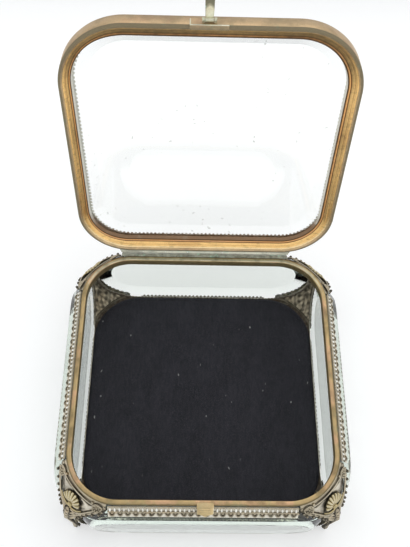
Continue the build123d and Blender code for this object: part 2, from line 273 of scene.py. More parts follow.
def ball(shape, centre, axes, radii, rows=5, sides=8, tone=(0.15, 1.0)):
    """Bead. Axes are three unit directions, the last one pointing off the sheet. Tone goes from the first value at its
    back to the second at its front: painted shade against the sheet, painted light on its crown.
    """
    centre = np.asarray(centre, float)
    e1, e2, e3 = (np.asarray(e, float) for e in axes)
    points, tones = [centre - e3 * radii[2]], [tone[0]]
    for i in range(1, rows):
        a = -PI / 2 + PI * i / rows
        for j in range(sides):
            b = 2 * PI * j / sides
            points.append(
                centre
                + e1 * radii[0] * math.cos(a) * math.cos(b)
                + e2 * radii[1] * math.cos(a) * math.sin(b)
                + e3 * radii[2] * math.sin(a)
            )
            tones.append(tone[0] + (tone[1] - tone[0]) * (math.sin(a) * 0.5 + 0.5))
    points.append(centre + e3 * radii[2])
    tones.append(tone[1])
    last = len(points) - 1
    faces = []
    for j in range(sides):
        k = (j + 1) % sides
        faces.append((0, 1 + k, 1 + j))
        for i in range(rows - 2):
            a = 1 + i * sides
            faces.append((a + j, a + k, a + sides + k, a + sides + j))
        a = 1 + (rows - 2) * sides
        faces.append((a + j, a + k, last))
    shape.add(points, faces, tones)


# ---- shader node groups ------------------------------------------------------
def new_group(name, inputs, outputs):
    """Empty node group with named sockets, and the sockets as they show inside it."""
    group = bpy.data.node_groups.new(name, "ShaderNodeTree")
    for label, kind, value in inputs:
        socket = group.interface.new_socket(label, in_out="INPUT", socket_type=kind)
        socket.default_value = value
    for label, kind in outputs:
        group.interface.new_socket(label, in_out="OUTPUT", socket_type=kind)
    return group, group.nodes.new("NodeGroupInput").outputs, group.nodes.new("NodeGroupOutput").inputs


class Wires:
    """Short hand for adding and linking shader nodes."""

    def __init__(self, tree):
        self.tree = tree

    def node(self, kind, inputs=None, **settings):
        made = self.tree.nodes.new(kind)
        for key, value in settings.items():
            setattr(made, key, value)
        self.give(made, inputs or {})
        return made

    def give(self, node, inputs):
        """Link each named input to a socket, or set it to a value."""
        for key, value in inputs.items():
            if isinstance(value, bpy.types.NodeSocket):
                self.link(value, node.inputs[key])
            else:
                node.inputs[key].default_value = value

    def link(self, a, b):
        self.tree.links.new(a, b)

    def place(self):
        """The object's own coordinates."""
        return self.node("ShaderNodeTexCoord").outputs["Object"]

    def noise(self, vector, scale, detail=3.0, rough=0.55, stretch=None):
        if stretch is not None:
            vector = self.node("ShaderNodeMapping", {"Scale": stretch, "Vector": vector}).outputs["Vector"]
        inputs = {"Vector": vector, "Scale": scale, "Detail": detail, "Roughness": rough}
        return self.node("ShaderNodeTexNoise", inputs).outputs["Fac"]

    def bent(self, vector, scale, amount):
        """The vector, bent a little by noise."""
        noise = self.node("ShaderNodeTexNoise", {"Scale": scale, "Vector": vector}).outputs["Color"]
        bend = self.node("ShaderNodeVectorMath", {0: noise, "Scale": amount}, operation="SCALE")
        total = {0: vector, 1: bend.outputs["Vector"]}
        return self.node("ShaderNodeVectorMath", total, operation="ADD").outputs["Vector"]

    def ramp(self, value, low, high, out_low=0.0, out_high=1.0):
        inputs = {"Value": value, "From Min": low, "From Max": high, "To Min": out_low, "To Max": out_high}
        return self.node("ShaderNodeMapRange", inputs, interpolation_type="SMOOTHSTEP").outputs["Result"]

    def math(self, operation, a, b):
        return self.node("ShaderNodeMath", {0: a, 1: b}, operation=operation).outputs["Value"]

    def plus(self, a, b):
        return self.math("ADD", a, b)

    def minus(self, a, b):
        return self.math("SUBTRACT", a, b)

    def times(self, a, b):
        return self.math("MULTIPLY", a, b)

    def most(self, a, b):
        return self.math("MAXIMUM", a, b)

    def mix(self, factor, a, b):
        made = self.node("ShaderNodeMix", {"Factor": factor, "A": a, "B": b}, data_type="RGBA")
        return made.outputs["Result"]

    def bump(self, height, strength, distance):
        inputs = {"Strength": strength, "Distance": distance, "Height": height}
        return self.node("ShaderNodeBump", inputs).outputs["Normal"]


def new_material(name):
    """Material, its shader, its output and its wires."""
    material = bpy.data.materials.new(name)
    material.use_nodes = True
    nodes = material.node_tree.nodes
    return material, nodes["Principled BSDF"], nodes["Material Output"], Wires(material.node_tree)


def old_gilding_group():
    """Worn gilding over brass: plain metal, browned hollows, green salts and fine scratches. The hollows are browned
    by grime and by painted shade, and raised parts with a high tone take a pale colour that is wear and painted
    highlight together.
    """
    group, given, out = new_group(
        "old_gilding",
        [
            ("Gold", "NodeSocketColor", (0.7, 0.5, 0.25, 1)),
            ("Brown", "NodeSocketColor", (0.2, 0.14, 0.08, 1)),
            ("Green", "NodeSocketColor", (0.3, 0.36, 0.26, 1)),
            ("Bare", "NodeSocketColor", (0.6, 0.36, 0.2, 1)),
            ("Worn", "NodeSocketFloat", 0.3),
            ("Dirt_and_shade", "NodeSocketFloat", 0.5),
            ("Salts", "NodeSocketFloat", 0.2),
            ("Polish", "NodeSocketFloat", 0.35),
            ("Patchy", "NodeSocketFloat", 0.9),
            ("Blotch", "NodeSocketFloat", 0.7),
            ("Rubbed_and_highlight", "NodeSocketColor", (0.9, 0.84, 0.66, 1)),
        ],
        [
            ("Color", "NodeSocketColor"),
            ("Roughness", "NodeSocketFloat"),
            ("Metallic", "NodeSocketFloat"),
            ("Height", "NodeSocketFloat"),
        ],
    )
    w = Wires(group)
    place = w.place()
    tone = w.node("ShaderNodeAttribute", attribute_name="tone").outputs["Fac"]
    cloud = w.noise(place, 120.0, 4.0)
    patches = w.noise(place, 420.0, 5.0, 0.6)
    grain = w.noise(place, 2600.0, 3.0, 0.6)
    pits = w.noise(place, 1500.0, 2.0, 0.5)
    uneven = w.minus(patches, 0.5)
    # Low tone marks hollows: their browning is grime together with painted shade.
    hollow = w.ramp(w.plus(tone, w.times(uneven, given["Patchy"])), 0.05, 0.75, 1.0, 0.0)
    dirt_and_shade = w.times(hollow, given["Dirt_and_shade"])
    blotch = w.times(w.ramp(cloud, 0.42, 0.68), given["Blotch"])
    brown = w.most(dirt_and_shade, blotch)
    worn = w.times(w.ramp(w.noise(place, 65.0, 5.0, 0.62), 0.5, 0.6), given["Worn"])
    colour = w.mix(worn, given["Gold"], given["Bare"])
    # Tone above 1.15 mixes in the pale colour: wear on raised parts and painted highlights.
    colour = w.mix(w.ramp(tone, 1.15, 1.8, 0.0, 0.85), colour, given["Rubbed_and_highlight"])
    colour = w.mix(brown, colour, given["Brown"])
    salts = w.times(w.ramp(w.noise(place, 230.0, 5.0, 0.65), 0.56, 0.7), given["Salts"])
    salts = w.times(salts, w.ramp(tone, 0.95, 0.1, 0.35, 1.0))
    colour = w.mix(salts, colour, given["Green"])
    grime = w.mix(0.5, colour, (0.05, 0.035, 0.02, 1))
    w.link(w.mix(w.ramp(grain, 0.3, 0.7, 0.0, 0.35), colour, grime), out["Color"])
    rough = w.plus(given["Polish"], w.times(brown, 0.28))
    rough = w.plus(w.plus(rough, w.times(uneven, 0.25)), w.times(salts, 0.4))
    w.link(w.math("MINIMUM", w.most(rough, 0.12), 0.95), out["Roughness"])
    skinned = w.times(w.most(salts, w.times(brown, 0.55)), 0.8)
    w.link(w.minus(1.0, skinned), out["Metallic"])
    height = w.plus(w.times(pits, 0.5), w.times(grain, 0.35))
    w.link(w.plus(height, w.times(patches, 0.8)), out["Height"])
    return group


old_gilding = old_gilding_group()


def gilt(
    name, gold, brown, green, bare, worn, dirt_and_shade, salts, polish, bump=0.3, scratches=0.0, direction=(1, 1, 1),
    shiny=True, patchy=0.9, blotch=0.7, rubbed_and_highlight=(0.9, 0.84, 0.66),
):
    """Metal finish from the old gilding group, with optional long scratches or a chalky skin."""
    material, shader, _, w = new_material(name)
    inputs = {
        "Gold": (*gold, 1), "Brown": (*brown, 1), "Green": (*green, 1), "Bare": (*bare, 1),
        "Rubbed_and_highlight": (*rubbed_and_highlight, 1), "Worn": worn, "Dirt_and_shade": dirt_and_shade, "Salts": salts, "Polish": polish,
        "Patchy": patchy, "Blotch": blotch,
    }
    made = w.node("ShaderNodeGroup", inputs, node_tree=old_gilding).outputs
    colour, height = made["Color"], made["Height"]
    if scratches:
        mask = w.ramp(w.noise(w.place(), 900.0, 2.0, 0.5, direction), 0.55, 0.66)
        colour = w.mix(w.times(mask, scratches), colour, (0.16, 0.1, 0.05, 1))
        height = w.minus(height, w.times(mask, 0.7))
    normal = w.bump(height, bump, 0.00012)
    w.give(shader, {"Base Color": colour, "Roughness": made["Roughness"], "Normal": normal})
    if shiny:
        w.link(made["Metallic"], shader.inputs["Metallic"])
    return material


def clear_glass(name, tint, depth_colour, density, marks, specks):
    """Old polished plate glass, green in its depth, with faint smears. It lets lamp light through."""
    material, shader, output, w = new_material(name)
    place = w.place()
    dust = w.node("ShaderNodeTexVoronoi", {"Scale": 260.0, "Vector": w.bent(place, 300.0, 0.004)}).outputs
    chosen = w.node("ShaderNodeSeparateColor", {"Color": dust["Color"]}).outputs
    grit = w.times(w.ramp(dust["Distance"], 0.19, 0.09), w.ramp(chosen["Red"], 0.60, 0.66))
    streaks = w.ramp(w.noise(place, 420.0, 4.0, 0.6, (1.0, 0.25, 0.25)), 0.70, 0.76, 0.0, 0.5)
    clusters = w.ramp(w.noise(place, 22.0, 2.0), 0.46, 0.62, 0.15, 1.0)
    grit = w.times(w.times(w.most(grit, streaks), clusters), specks)
    w.give(shader, {
        "Metallic": 0.0, "Transmission Weight": 1.0, "IOR": 1.48,
        "Base Color": w.mix(grit, (*tint, 1), (0.42, 0.41, 0.38, 1)),
        "Roughness": w.ramp(w.noise(place, 60.0, 4.0), 0.5, 0.8, 0.0, marks),
        "Normal": w.bump(w.noise(place, 35.0, 1.0), 0.05, 0.0005),
    })
    depth = w.node("ShaderNodeVolumeAbsorption", {"Color": (*depth_colour, 1), "Density": density})
    w.link(depth.outputs["Volume"], output.inputs["Volume"])
    clear = w.node("ShaderNodeBsdfTransparent", {"Color": (0.90, 0.94, 0.92, 1)})
    shadow = w.node("ShaderNodeLightPath").outputs["Is Shadow Ray"]
    blend = w.node("ShaderNodeMixShader", {0: shadow, 1: shader.outputs["BSDF"], 2: clear.outputs["BSDF"]})
    w.link(blend.outputs["Shader"], output.inputs["Surface"])
    return material


def velvet_material():
    """Short black pile with a soft sheen, faint streaks and lint."""
    material, shader, _, w = new_material("black_velvet")
    place = w.place()
    nap = w.noise(place, 110.0, 4.0, 0.6, (1.0, 0.45, 1.0))
    pile = w.noise(place, 2400.0, 2.0, 0.6)
    ribs = w.noise(place, 800.0, 2.0, 0.5, (1.0, 0.3, 1.0))
    creases = w.noise(place, 260.0, 3.0, 0.6, (1.0, 0.3, 1.0))
    colour = w.mix(w.ramp(nap, 0.35, 0.7), (0.0135, 0.013, 0.016, 1), (0.021, 0.0205, 0.025, 1))
    colour = w.mix(w.ramp(pile, 0.4, 0.68, 0.0, 0.8), colour, (0.043, 0.043, 0.050, 1))
    colour = w.mix(w.ramp(creases, 0.56, 0.66, 0.0, 0.2), colour, (0.008, 0.008, 0.010, 1))
    colour = w.mix(w.ramp(ribs, 0.46, 0.6, 0.0, 0.25), colour, (0.0095, 0.0095, 0.0125, 1))
    turned = {"Rotation": (0.0, 0.0, 0.5), "Scale": (1.0, 0.4, 0.0), "Vector": w.bent(place, 40.0, 0.012)}
    spots = {"Scale": 210.0, "Vector": w.node("ShaderNodeMapping", turned).outputs["Vector"]}
    fluff = w.node("ShaderNodeTexVoronoi", spots, voronoi_dimensions="2D").outputs
    chosen = w.node("ShaderNodeSeparateColor", {"Color": fluff["Color"]}).outputs
    lint = w.times(w.ramp(fluff["Distance"], 0.075, 0.035), w.ramp(chosen["Red"], 0.88, 0.91))
    lint = w.times(lint, w.ramp(chosen["Green"], 0.1, 1.0, 0.15, 1.0))
    relief = w.minus(w.plus(pile, w.times(ribs, 0.6)), w.times(creases, 1.5))
    w.give(shader, {
        "Base Color": w.mix(w.times(lint, 0.55), colour, (0.45, 0.45, 0.44, 1)),
        "Roughness": 0.95, "Specular IOR Level": 0.15,
        "Sheen Weight": 0.25, "Sheen Roughness": 0.5, "Sheen Tint": (0.55, 0.55, 0.65, 1),
        "Normal": w.bump(relief, 0.6, 0.0003),
    })
    return material


# name, plain metal, browned hollow with its painted shade, green salts, worn patch, then how much of each
rim_gilt = gilt(
    "rim_gilt", (0.54, 0.395, 0.195), (0.16, 0.125, 0.055), (0.33, 0.34, 0.21), (0.68, 0.42, 0.25),
    0.8, 0.9, 0.5, 0.34, patchy=0.7, blotch=0.6, rubbed_and_highlight=(0.82, 0.78, 0.56),
)
cove_gilt = gilt(
    "cove_gilt", (0.98, 0.63, 0.25), (0.13, 0.085, 0.033), (0.34, 0.36, 0.24), (0.72, 0.40, 0.15),
    0.35, 0.95, 0.25, 0.33, scratches=0.25, direction=(0.25, 1.0, 1.0),
    patchy=0.35, blotch=0.12, rubbed_and_highlight=(1.0, 0.78, 0.44),
)
bead_gilt = gilt(
    "bead_gilt", (0.80, 0.42, 0.16), (0.085, 0.042, 0.014), (0.34, 0.30, 0.18), (0.80, 0.42, 0.20),
    0.35, 0.95, 0.1, 0.33, patchy=0.45, blotch=0.1, rubbed_and_highlight=(1.0, 0.68, 0.48),
)
band_gilt = gilt(
    "band_gilt", (0.72, 0.52, 0.30), (0.19, 0.165, 0.10), (0.30, 0.36, 0.25), (0.68, 0.42, 0.25),
    0.5, 0.9, 0.45, 0.40, patchy=0.55, blotch=0.4, rubbed_and_highlight=(0.86, 0.72, 0.50),
)
pressed_gilt = gilt(
    "pressed_gilt", (0.54, 0.47, 0.34), (0.052, 0.045, 0.031), (0.38, 0.41, 0.32), (0.54, 0.40, 0.24),
    0.4, 0.97, 0.4, 0.36, 0.35, patchy=0.6, blotch=0.35, rubbed_and_highlight=(0.86, 0.80, 0.68),
)
shell_gilt = gilt(
    "shell_gilt", (0.50, 0.41, 0.22), (0.05, 0.04, 0.018), (0.36, 0.36, 0.26), (0.56, 0.42, 0.18),
    0.3, 1.0, 0.15, 0.27, 0.3, patchy=0.25, blotch=0.1, rubbed_and_highlight=(0.93, 0.88, 0.69),
)
chalky_edge = gilt(
    "chalky_edge", (0.90, 0.87, 0.76), (0.22, 0.11, 0.042), (0.50, 0.52, 0.42), (0.80, 0.74, 0.60),
    0.3, 0.95, 0.15, 0.5, 0.3, shiny=False, patchy=0.7, blotch=0.0, rubbed_and_highlight=(0.95, 0.93, 0.86),
)
green_brass = gilt(
    "green_brass", (0.86, 0.84, 0.64), (0.20, 0.19, 0.12), (0.52, 0.76, 0.56), (0.66, 0.55, 0.34),
    0.4, 0.9, 1.0, 0.45, 0.45, blotch=0.45, rubbed_and_highlight=(0.93, 0.90, 0.72),
)
hinge_green = gilt(
    "hinge_green", (0.80, 0.81, 0.66), (0.13, 0.125, 0.09), (0.48, 0.78, 0.58), (0.62, 0.55, 0.38),
    0.4, 0.9, 1.0, 0.5, 0.45, shiny=False, blotch=0.5, rubbed_and_highlight=(0.93, 0.90, 0.72),
)
shield_gilt = gilt(
    "shield_gilt", (0.68, 0.53, 0.28), (0.30, 0.22, 0.10), (0.40, 0.42, 0.30), (0.70, 0.50, 0.27),
    0.4, 0.8, 0.3, 0.36, blotch=0.5, rubbed_and_highlight=(0.92, 0.82, 0.58),
)
inner_gilt = gilt(
    "inner_gilt", (0.84, 0.80, 0.68), (0.095, 0.07, 0.048), (0.52, 0.55, 0.45), (0.70, 0.60, 0.44),
    0.4, 1.0, 0.3, 0.5, 0.4,
)
# Pale finish of the gallery's backing and its beads: its near-white colours are painted highlights, and the pale
# backing stands for light showing between the beads.
painted_glint_gilt = gilt(
    "painted_glint_gilt", (0.93, 0.90, 0.80), (0.42, 0.36, 0.25), (0.62, 0.66, 0.56), (0.86, 0.78, 0.62),
    0.3, 0.45, 0.3, 0.5, 0.3, blotch=0.3, rubbed_and_highlight=(0.95, 0.94, 0.88),
)
side_glass = clear_glass("side_glass", (0.985, 1.0, 0.99), (0.74, 0.82, 0.755), 30.0, 0.03, 0.12)
top_glass = clear_glass("top_glass", (0.995, 1.0, 0.997), (0.78, 0.88, 0.82), 9.0, 0.02, 0.9)
velvet = velvet_material()


# ---- side glass --------------------------------------------------------------
def stadium(half, radius, segments=40):
    """Outline of a plate with round ends, in its own plane."""
    points = []
    for i in range(segments + 1):
        a = -PI / 2 + PI * i / segments
        points.append((half - radius + radius * math.cos(a), radius * math.sin(a)))
    for i in range(segments + 1):
        a = PI / 2 + PI * i / segments
        points.append((-(half - radius) + radius * math.cos(a), radius * math.sin(a)))
    return np.array(points)


def layered_plate(shape, outlines, point):
    """Solid through a stack of matching outlines. Point maps (a, b, depth) to space."""
    n = len(outlines[0][0])
    rows = [point(o[:, 0], o[:, 1], np.full(n, depth)) for o, depth in outlines]
    shape.add(np.concatenate(rows), grid_faces(len(rows), n, False, True), 0.5)
    last = (len(rows) - 1) * n
    start = shape.count - len(rows) * n
    shape.faces.append(tuple(start + i for i in range(n))[::-1])
    shape.faces.append(tuple(start + last + i for i in range(n)))


def make_side_glass(side, degrees):
    shape = Shape()
    ease = 0.2
    stack = [
        (stadium(PANEL_HALF - ease, END_RADIUS - ease), 0.0),
        (stadium(PANEL_HALF, END_RADIUS), ease),
        (stadium(PANEL_HALF, END_RADIUS), GLASS_EDGE),
        (stadium(PANEL_HALF - BEVEL_WIDTH + 0.12, END_RADIUS - BEVEL_WIDTH + 0.12), GLASS_THICK - 0.09),
        (stadium(PANEL_HALF - BEVEL_WIDTH - 0.12, END_RADIUS - BEVEL_WIDTH - 0.12), GLASS_THICK),
    ]

    def point(a, b, depth):
        return turn(np.stack([a, -GLASS_INNER - depth, PANEL_MIDDLE + b], -1), degrees)

    layered_plate(shape, stack, point)
    make_piece(f"side_glass_{side}", shape, "casket", side_glass, [f"glass_{side}"], 12.0)


for side, degrees in SIDES.items():
    make_side_glass(side, degrees)


# ---- rim, base and pad -------------------------------------------------------
def rim_painted_light(path):
    """Painted light: the rim's tone rises towards the hinge, so the back of the rim is painted brighter, up to the
    pale highlight colour.
    """
    return 0.95 + 1.6 * np.clip((path[:, 1] - 28.0) / 32.0, 0, 1) ** 1.5


def make_rim():
    shape = Shape()
    section = [
        (0.0, -0.80), (0.0, -0.30), (0.10, -0.08), (0.35, 0.0), (0.9, 0.0), (1.5, -0.02), (2.1, -0.06),
        (2.32, -0.16), (2.4, -0.4), (2.4, -2.5), (2.4, -4.5), (2.3, -4.6), (1.3, -4.6), (1.2, -4.5), (1.2, -0.8),
    ]
    tones = [-0.4, -0.4, -0.2, 0.2, 0.7, 0.95, 0.75, 0.35, 0.1, 0.0, 0.05, 0.3, 0.1, 0.0, 0.0]
    swept_ring(shape, HALF, RIM_RADIUS, RIM_TOP, section, tones, 1.5, 26, 0.05, 3, rim_painted_light)
    make_piece("rim", shape, "casket", rim_gilt, ["top_rim"], 50)


def make_base():
    shape = Shape()
    section = [(0.15, 0.0), (0.0, 0.2), (0.0, 2.6), (0.15, 2.8), (1.6, 2.8), (1.7, 2.7), (1.7, 0.9)]
    swept_ring(shape, HALF, RIM_RADIUS, 0.0, section, 0.1, 2.0, 20)
    make_piece("bottom_frame", shape, "casket", inner_gilt, ["base_frame"], 50)
    plate = Shape()
    outer, _ = rounded_square(HALF - 0.3, RIM_RADIUS - 0.3, 3.0, 16)
    layered_plate(plate, [(outer, 0.0), (outer, 0.9)], lambda a, b, d: np.stack([a, b, d], -1))
    make_piece("bottom_plate", plate, "casket", pressed_gilt, ["base_plate"], 40)


def make_inner_claws():
    """Small scallops on each glass's inner face, along its foot and up its round ends."""
    pitch, last = 1.9, math.radians(48)
    arc = END_RADIUS * (PI / 2 + last)
    count = int(2 * (STRAIGHT + arc) / pitch)
    for side, degrees in SIDES.items():
        shape = Shape()
        rnd = random.Random(11 + degrees)
        for i in range(count):
            along = (i - (count - 1) / 2) * pitch
            past = max(abs(along) - STRAIGHT, 0.0)
            angle = -PI / 2 + past / END_RADIUS
            out = np.array([math.cos(angle), math.sin(angle)])
            centre = np.array([min(abs(along), STRAIGHT), PANEL_MIDDLE]) + out * END_RADIUS
            side_way = np.array([-out[1], out[0]])
            h = 1.7 + rnd.uniform(-0.15, 0.15)
            half = [(0.93, -0.3), (0.85, h * 0.6), (0.45, h * 0.93)]
            outline = [(-a, b) for a, b in half] + [(0, h)] + half[::-1]
            front, back = [], []
            for a, b in outline:
                q = centre + side_way * a - out * b
                x = math.copysign(q[0], along)
                front.append((x, -61.16 - 0.1 * math.sin(b), q[1]))
                back.append((x, -61.42, q[1]))
            if along < 0:
                front, back = front[::-1], back[::-1]
            n = len(outline)
            faces = [tuple(range(n))[::-1], tuple(range(n, 2 * n))]
            faces += [(j, j + 1, n + j + 1, n + j) for j in range(n - 1)]
            tones = [0.1 + 0.3 * max(b, 0) / h for _, b in outline] + [1.3] * n
            shape.add(turn(np.array(front + back), degrees), faces, tones)
        make_piece(f"inner_claws_{side}", shape, "casket", inner_gilt, (), 60)


def make_pad():
    """Thin padded board under velvet, with a low crown, rolled edge and slight dips."""
    shape = Shape()
    rings = 34
    half, radius, level, thick = 61.1, 25.0, 2.8, 0.9
    rnd = np.random.default_rng(5)
    waves = [(rnd.uniform(0.02, 0.09, 2), rnd.uniform(0, 6.28), rnd.uniform(0.01, 0.035)) for _ in range(14)]
    base, _ = rounded_square(half, radius, 1.8, 22)
    rows = []
    for i in range(rings + 1):
        t = i / rings
        pts = base * t
        z = np.full(len(pts), level + thick)
        for (fx, fy), phase, size in waves:
            z += size * np.sin(pts[:, 0] * fx * 4 + pts[:, 1] * fy * 4 + phase) * (1 - t**6)
        edge = half * (1 - t)
        z -= 0.35 * math.exp(-edge / 0.6)
        z += 0.12 * (1 - t**3)
        rows.append(np.stack([pts[:, 0], pts[:, 1], z], -1))
    for drop in (0.62, 0.8, 0.9):
        pts = base * (1.0 if drop < 0.85 else 0.999)
        rows.append(np.stack([pts[:, 0], pts[:, 1], np.full(len(pts), level + thick - drop)], -1))
    rows.append(np.stack([base[:, 0] * 0.001, base[:, 1] * 0.001, np.full(len(base), level)], -1))
    shape.add(np.concatenate(rows), grid_faces(len(rows), len(base), False, True), 0.5)
    pad = make_piece("velvet_cushion", shape, "casket", velvet, ["velvet_pad"], 179)


make_rim()
make_base()
make_inner_claws()
make_pad()


# ---- galleries ---------------------------------------------------------------
def on_bevel(x, down, off, lower=False):
    """Point beside the front panel's bevel; down runs along the slope from the panel's edge."""
    out = EDGE_OUT + down * math.sin(BEVEL_ANGLE) + off * math.cos(BEVEL_ANGLE)
    drop = down * math.cos(BEVEL_ANGLE) - off * math.sin(BEVEL_ANGLE)
    z = PANEL_LOW + drop if lower else PANEL_TOP - drop
    return np.stack(np.broadcast_arrays(x, -out, z), -1)


def gallery_shape(lower=False):
    """Beads and loops on the front side."""
    shape = Shape()
    flip = -1.0 if lower else 1.0
    e1 = np.array([1.0, 0, 0])
    e2 = np.array([0, -math.sin(BEVEL_ANGLE), -flip * math.cos(BEVEL_ANGLE)])
    e3 = np.array([0, -math.cos(BEVEL_ANGLE), flip * math.sin(BEVEL_ANGLE)])
    axes = (e1, e2, e3)
    half = STRAIGHT if lower else GALLERY_HALF
    rnd = random.Random(21 + int(lower))
    xs = np.linspace(-half, half, 60)
    if lower:
        tube(shape, on_bevel(xs, 0.7, 0.3, lower), 0.42, 8, e3, 0.8)
        pitch = 2.2
        count = int(2 * half / pitch)
        for i in range(count):
            x = (i - (count - 1) / 2) * pitch
            ball(shape, on_bevel(x, 1.5, 0.3, lower), axes, (0.75, 0.85, 0.4))
        return shape, None
    plate = [(0.0, 0.28), (0.4, 0.34), (1.4, 0.3), (2.7, 0.26), (6.0, 0.16), (6.0, 0.02), (0.0, 0.02)]
    ends = [on_bevel(x, d, off) for x in (-half, half) for d, off in plate]
    m = len(plate)
    plate_faces = [(j, (j + 1) % m, m + (j + 1) % m, m + j) for j in range(m)]
    backing = Shape()
    plate_faces += [tuple(range(m))[::-1], tuple(range(m, 2 * m))]
    backing.add(ends, plate_faces, [-0.5, -0.5, -0.5, 0.1, 0.35, 0.35, 0.1] * 2)
    tube(shape, on_bevel(xs, 0.05, 0.4), 0.2, 8, e3, 0.9, tone=(0.2, 0.7))
    tube(shape, on_bevel(xs, 2.75, 0.55), 0.36, 8, e3, 0.9, tone=(0.1, 0.7))
    pitch = 2.05
    count = int(2 * half / pitch)
    for i in range(count):
        x = (i - (count - 1) / 2) * pitch + rnd.uniform(-0.1, 0.1)
        r = 0.58 + rnd.uniform(-0.09, 0.09)
        down = 1.45 + rnd.uniform(-0.12, 0.12)
        ball(backing, on_bevel(x, down, 0.6), axes, (r, 0.95, 0.66), 7, 10, tone=(-0.2, 2.2))
        ball(shape, on_bevel(x + pitch / 2, 0.5, 0.3), axes, (0.42, 0.4, 0.34), 5, 7, tone=(0.1, 0.9))
    pitch = 3.5
    count = int(2 * half / pitch)
    for i in range(count):
        x = (i - (count - 1) / 2) * pitch + rnd.uniform(-0.12, 0.12)
        lean = rnd.uniform(-0.3, 0.3)
        a = np.linspace(-0.12 * PI, 1.12 * PI, 17)
        cx = x + 1.05 * np.cos(a + PI) + lean * np.sin(a).clip(0)
        cd = 3.85 + 1.0 * np.sin(a)
        rod = 0.30 + 0.17 * np.sin(a).clip(0) ** 2
        tube(shape, on_bevel(cx, cd, 0.42 + 0.16 * np.sin(a)), rod, 7, e3, 0.95, tone=(-0.6, 0.5))
        ball(shape, on_bevel(x + lean, 4.8, 0.5), axes, (0.5, 0.42, 0.5), 5, 7, tone=(-0.2, 0.25))
        ball(shape, on_bevel(x, 4.0, 0.24), axes, (0.85, 1.0, 0.22), 5, 10, tone=(0.1, 0.7))
        ball(shape, on_bevel(x, 3.75, 0.4), axes, (0.42, 0.5, 0.36), 5, 7, tone=(0.6, 1.2))
        ball(shape, on_bevel(x + pitch / 2, 3.5, 0.3), axes, (0.75, 0.7, 0.34), 5, 8, tone=(0.2, 0.8))
    return shape, backing


def make_galleries():
    (upper, backing), (lower, _) = gallery_shape(), gallery_shape(True)
    for side, degrees in SIDES.items():
        for kind, made, finish, replaced in (
            ("gallery_strip", upper, pressed_gilt, [f"gallery_{side}"]),
            ("gallery_backing", backing, painted_glint_gilt, ()),
            ("lower_gallery_strip", lower, pressed_gilt, [f"lower_claws_{side}"]),
        ):
            sharp = 50 if made is backing else 179
            make_piece(f"{kind}_{side}", made, "casket", finish, replaced, sharp, move=lambda p: turn(p, degrees))


make_galleries()


# ---- corner mounts -----------------------------------------------------------
class MountSkin:
    """Outer surface of the back right mount. s runs round the corner, z is height."""

    def __init__(self, levels=120, samples=81):
        self.levels = np.linspace(PANEL_LOW, PANEL_TOP, levels)
        self.rows, self.lengths = [], []
        for level in self.levels:
            line = self.section(level, samples)
            steps = np.linalg.norm(np.diff(line, axis=0), axis=1)
            length = np.concatenate([[0], np.cumsum(steps)])
            self.rows.append(line)
            self.lengths.append(length - length[-1] / 2)
        self.half = np.array([length[-1] for length in self.lengths])

    @staticmethod
    def section(level, samples):
        rise = min(abs(level - PANEL_MIDDLE), END_RADIUS)
        glass_end = STRAIGHT + math.sqrt(END_RADIUS**2 - rise**2)
        lap = END_RADIUS - 1.6
        lap_end = STRAIGHT + math.sqrt(max(lap**2 - rise**2, 0))
        lap_end = max(lap_end, GALLERY_HALF + 0.3)
        past = max(lap_end - STRAIGHT, 0)
        depth = max(END_RADIUS - math.hypot(past, rise), 0)
        turn_out = EDGE_OUT + MOUNT_GAP + MOUNT_SHEET
        lap_out = turn_out + depth * BEVEL_RISE
        turn_end = max(glass_end + 0.15, lap_end + MOUNT_SHEET)
        spread = 1 - (rise / END_RADIUS) ** MOUNT_FULLNESS
        d = RIM_CORNER + MOUNT_REACH * spread
        a, b = turn_out, turn_end
        pull = 2 * d - (a + b) / 2
        t = np.linspace(0, 1, samples)[:, None]
        ends = np.array([[a, b], [b, a]])
        arc = ends[0] * (1 - t) ** 2 + 2 * t * (1 - t) * np.array([pull, pull]) + ends[1] * t**2
        first = np.array([[lap_out, lap_end]])
        return np.concatenate([first, arc, first[:, ::-1]])

    def flat_point(self, s, z):
        k = np.interp(z, self.levels, np.arange(len(self.levels)))
        k0 = int(min(max(math.floor(k), 0), len(self.levels) - 2))
        f = k - k0
        found = []
        for j in (k0, k0 + 1):
            line, length = self.rows[j], self.lengths[j]
            if s < length[0]:
                d = line[0] - line[1]
                p = line[0] + d / np.linalg.norm(d) * (length[0] - s)
            elif s > length[-1]:
                d = line[-1] - line[-2]
                p = line[-1] + d / np.linalg.norm(d) * (s - length[-1])
            else:
                p = np.array([np.interp(s, length, line[:, 0]), np.interp(s, length, line[:, 1])])
            found.append(p)
        p = found[0] * (1 - f) + found[1] * f
        return np.array([p[0], p[1], z])

    def at(self, s, z, off=0.0):
        p = self.flat_point(s, z)
        return p + self.normal(s, z) * off

    def normal(self, s, z):
        ds = self.flat_point(s + 0.4, z) - self.flat_point(s - 0.4, z)
        dz = self.flat_point(s, min(z + 0.4, PANEL_TOP)) - self.flat_point(s, max(z - 0.4, PANEL_LOW))
        n = np.cross(ds, dz)
        return n / np.linalg.norm(n)

    def half_width(self, z):
        return float(np.interp(z, self.levels, self.half))


skin = MountSkin()


def sheet_edge(z):
    """Where the sheet ends at a height; over the upper glass the hooks stand outside it."""
    return skin.half_width(z) - float(np.interp(z, [24, 30, 44, 47.5], [0.0, 1.5, 1.5, 0.3]))


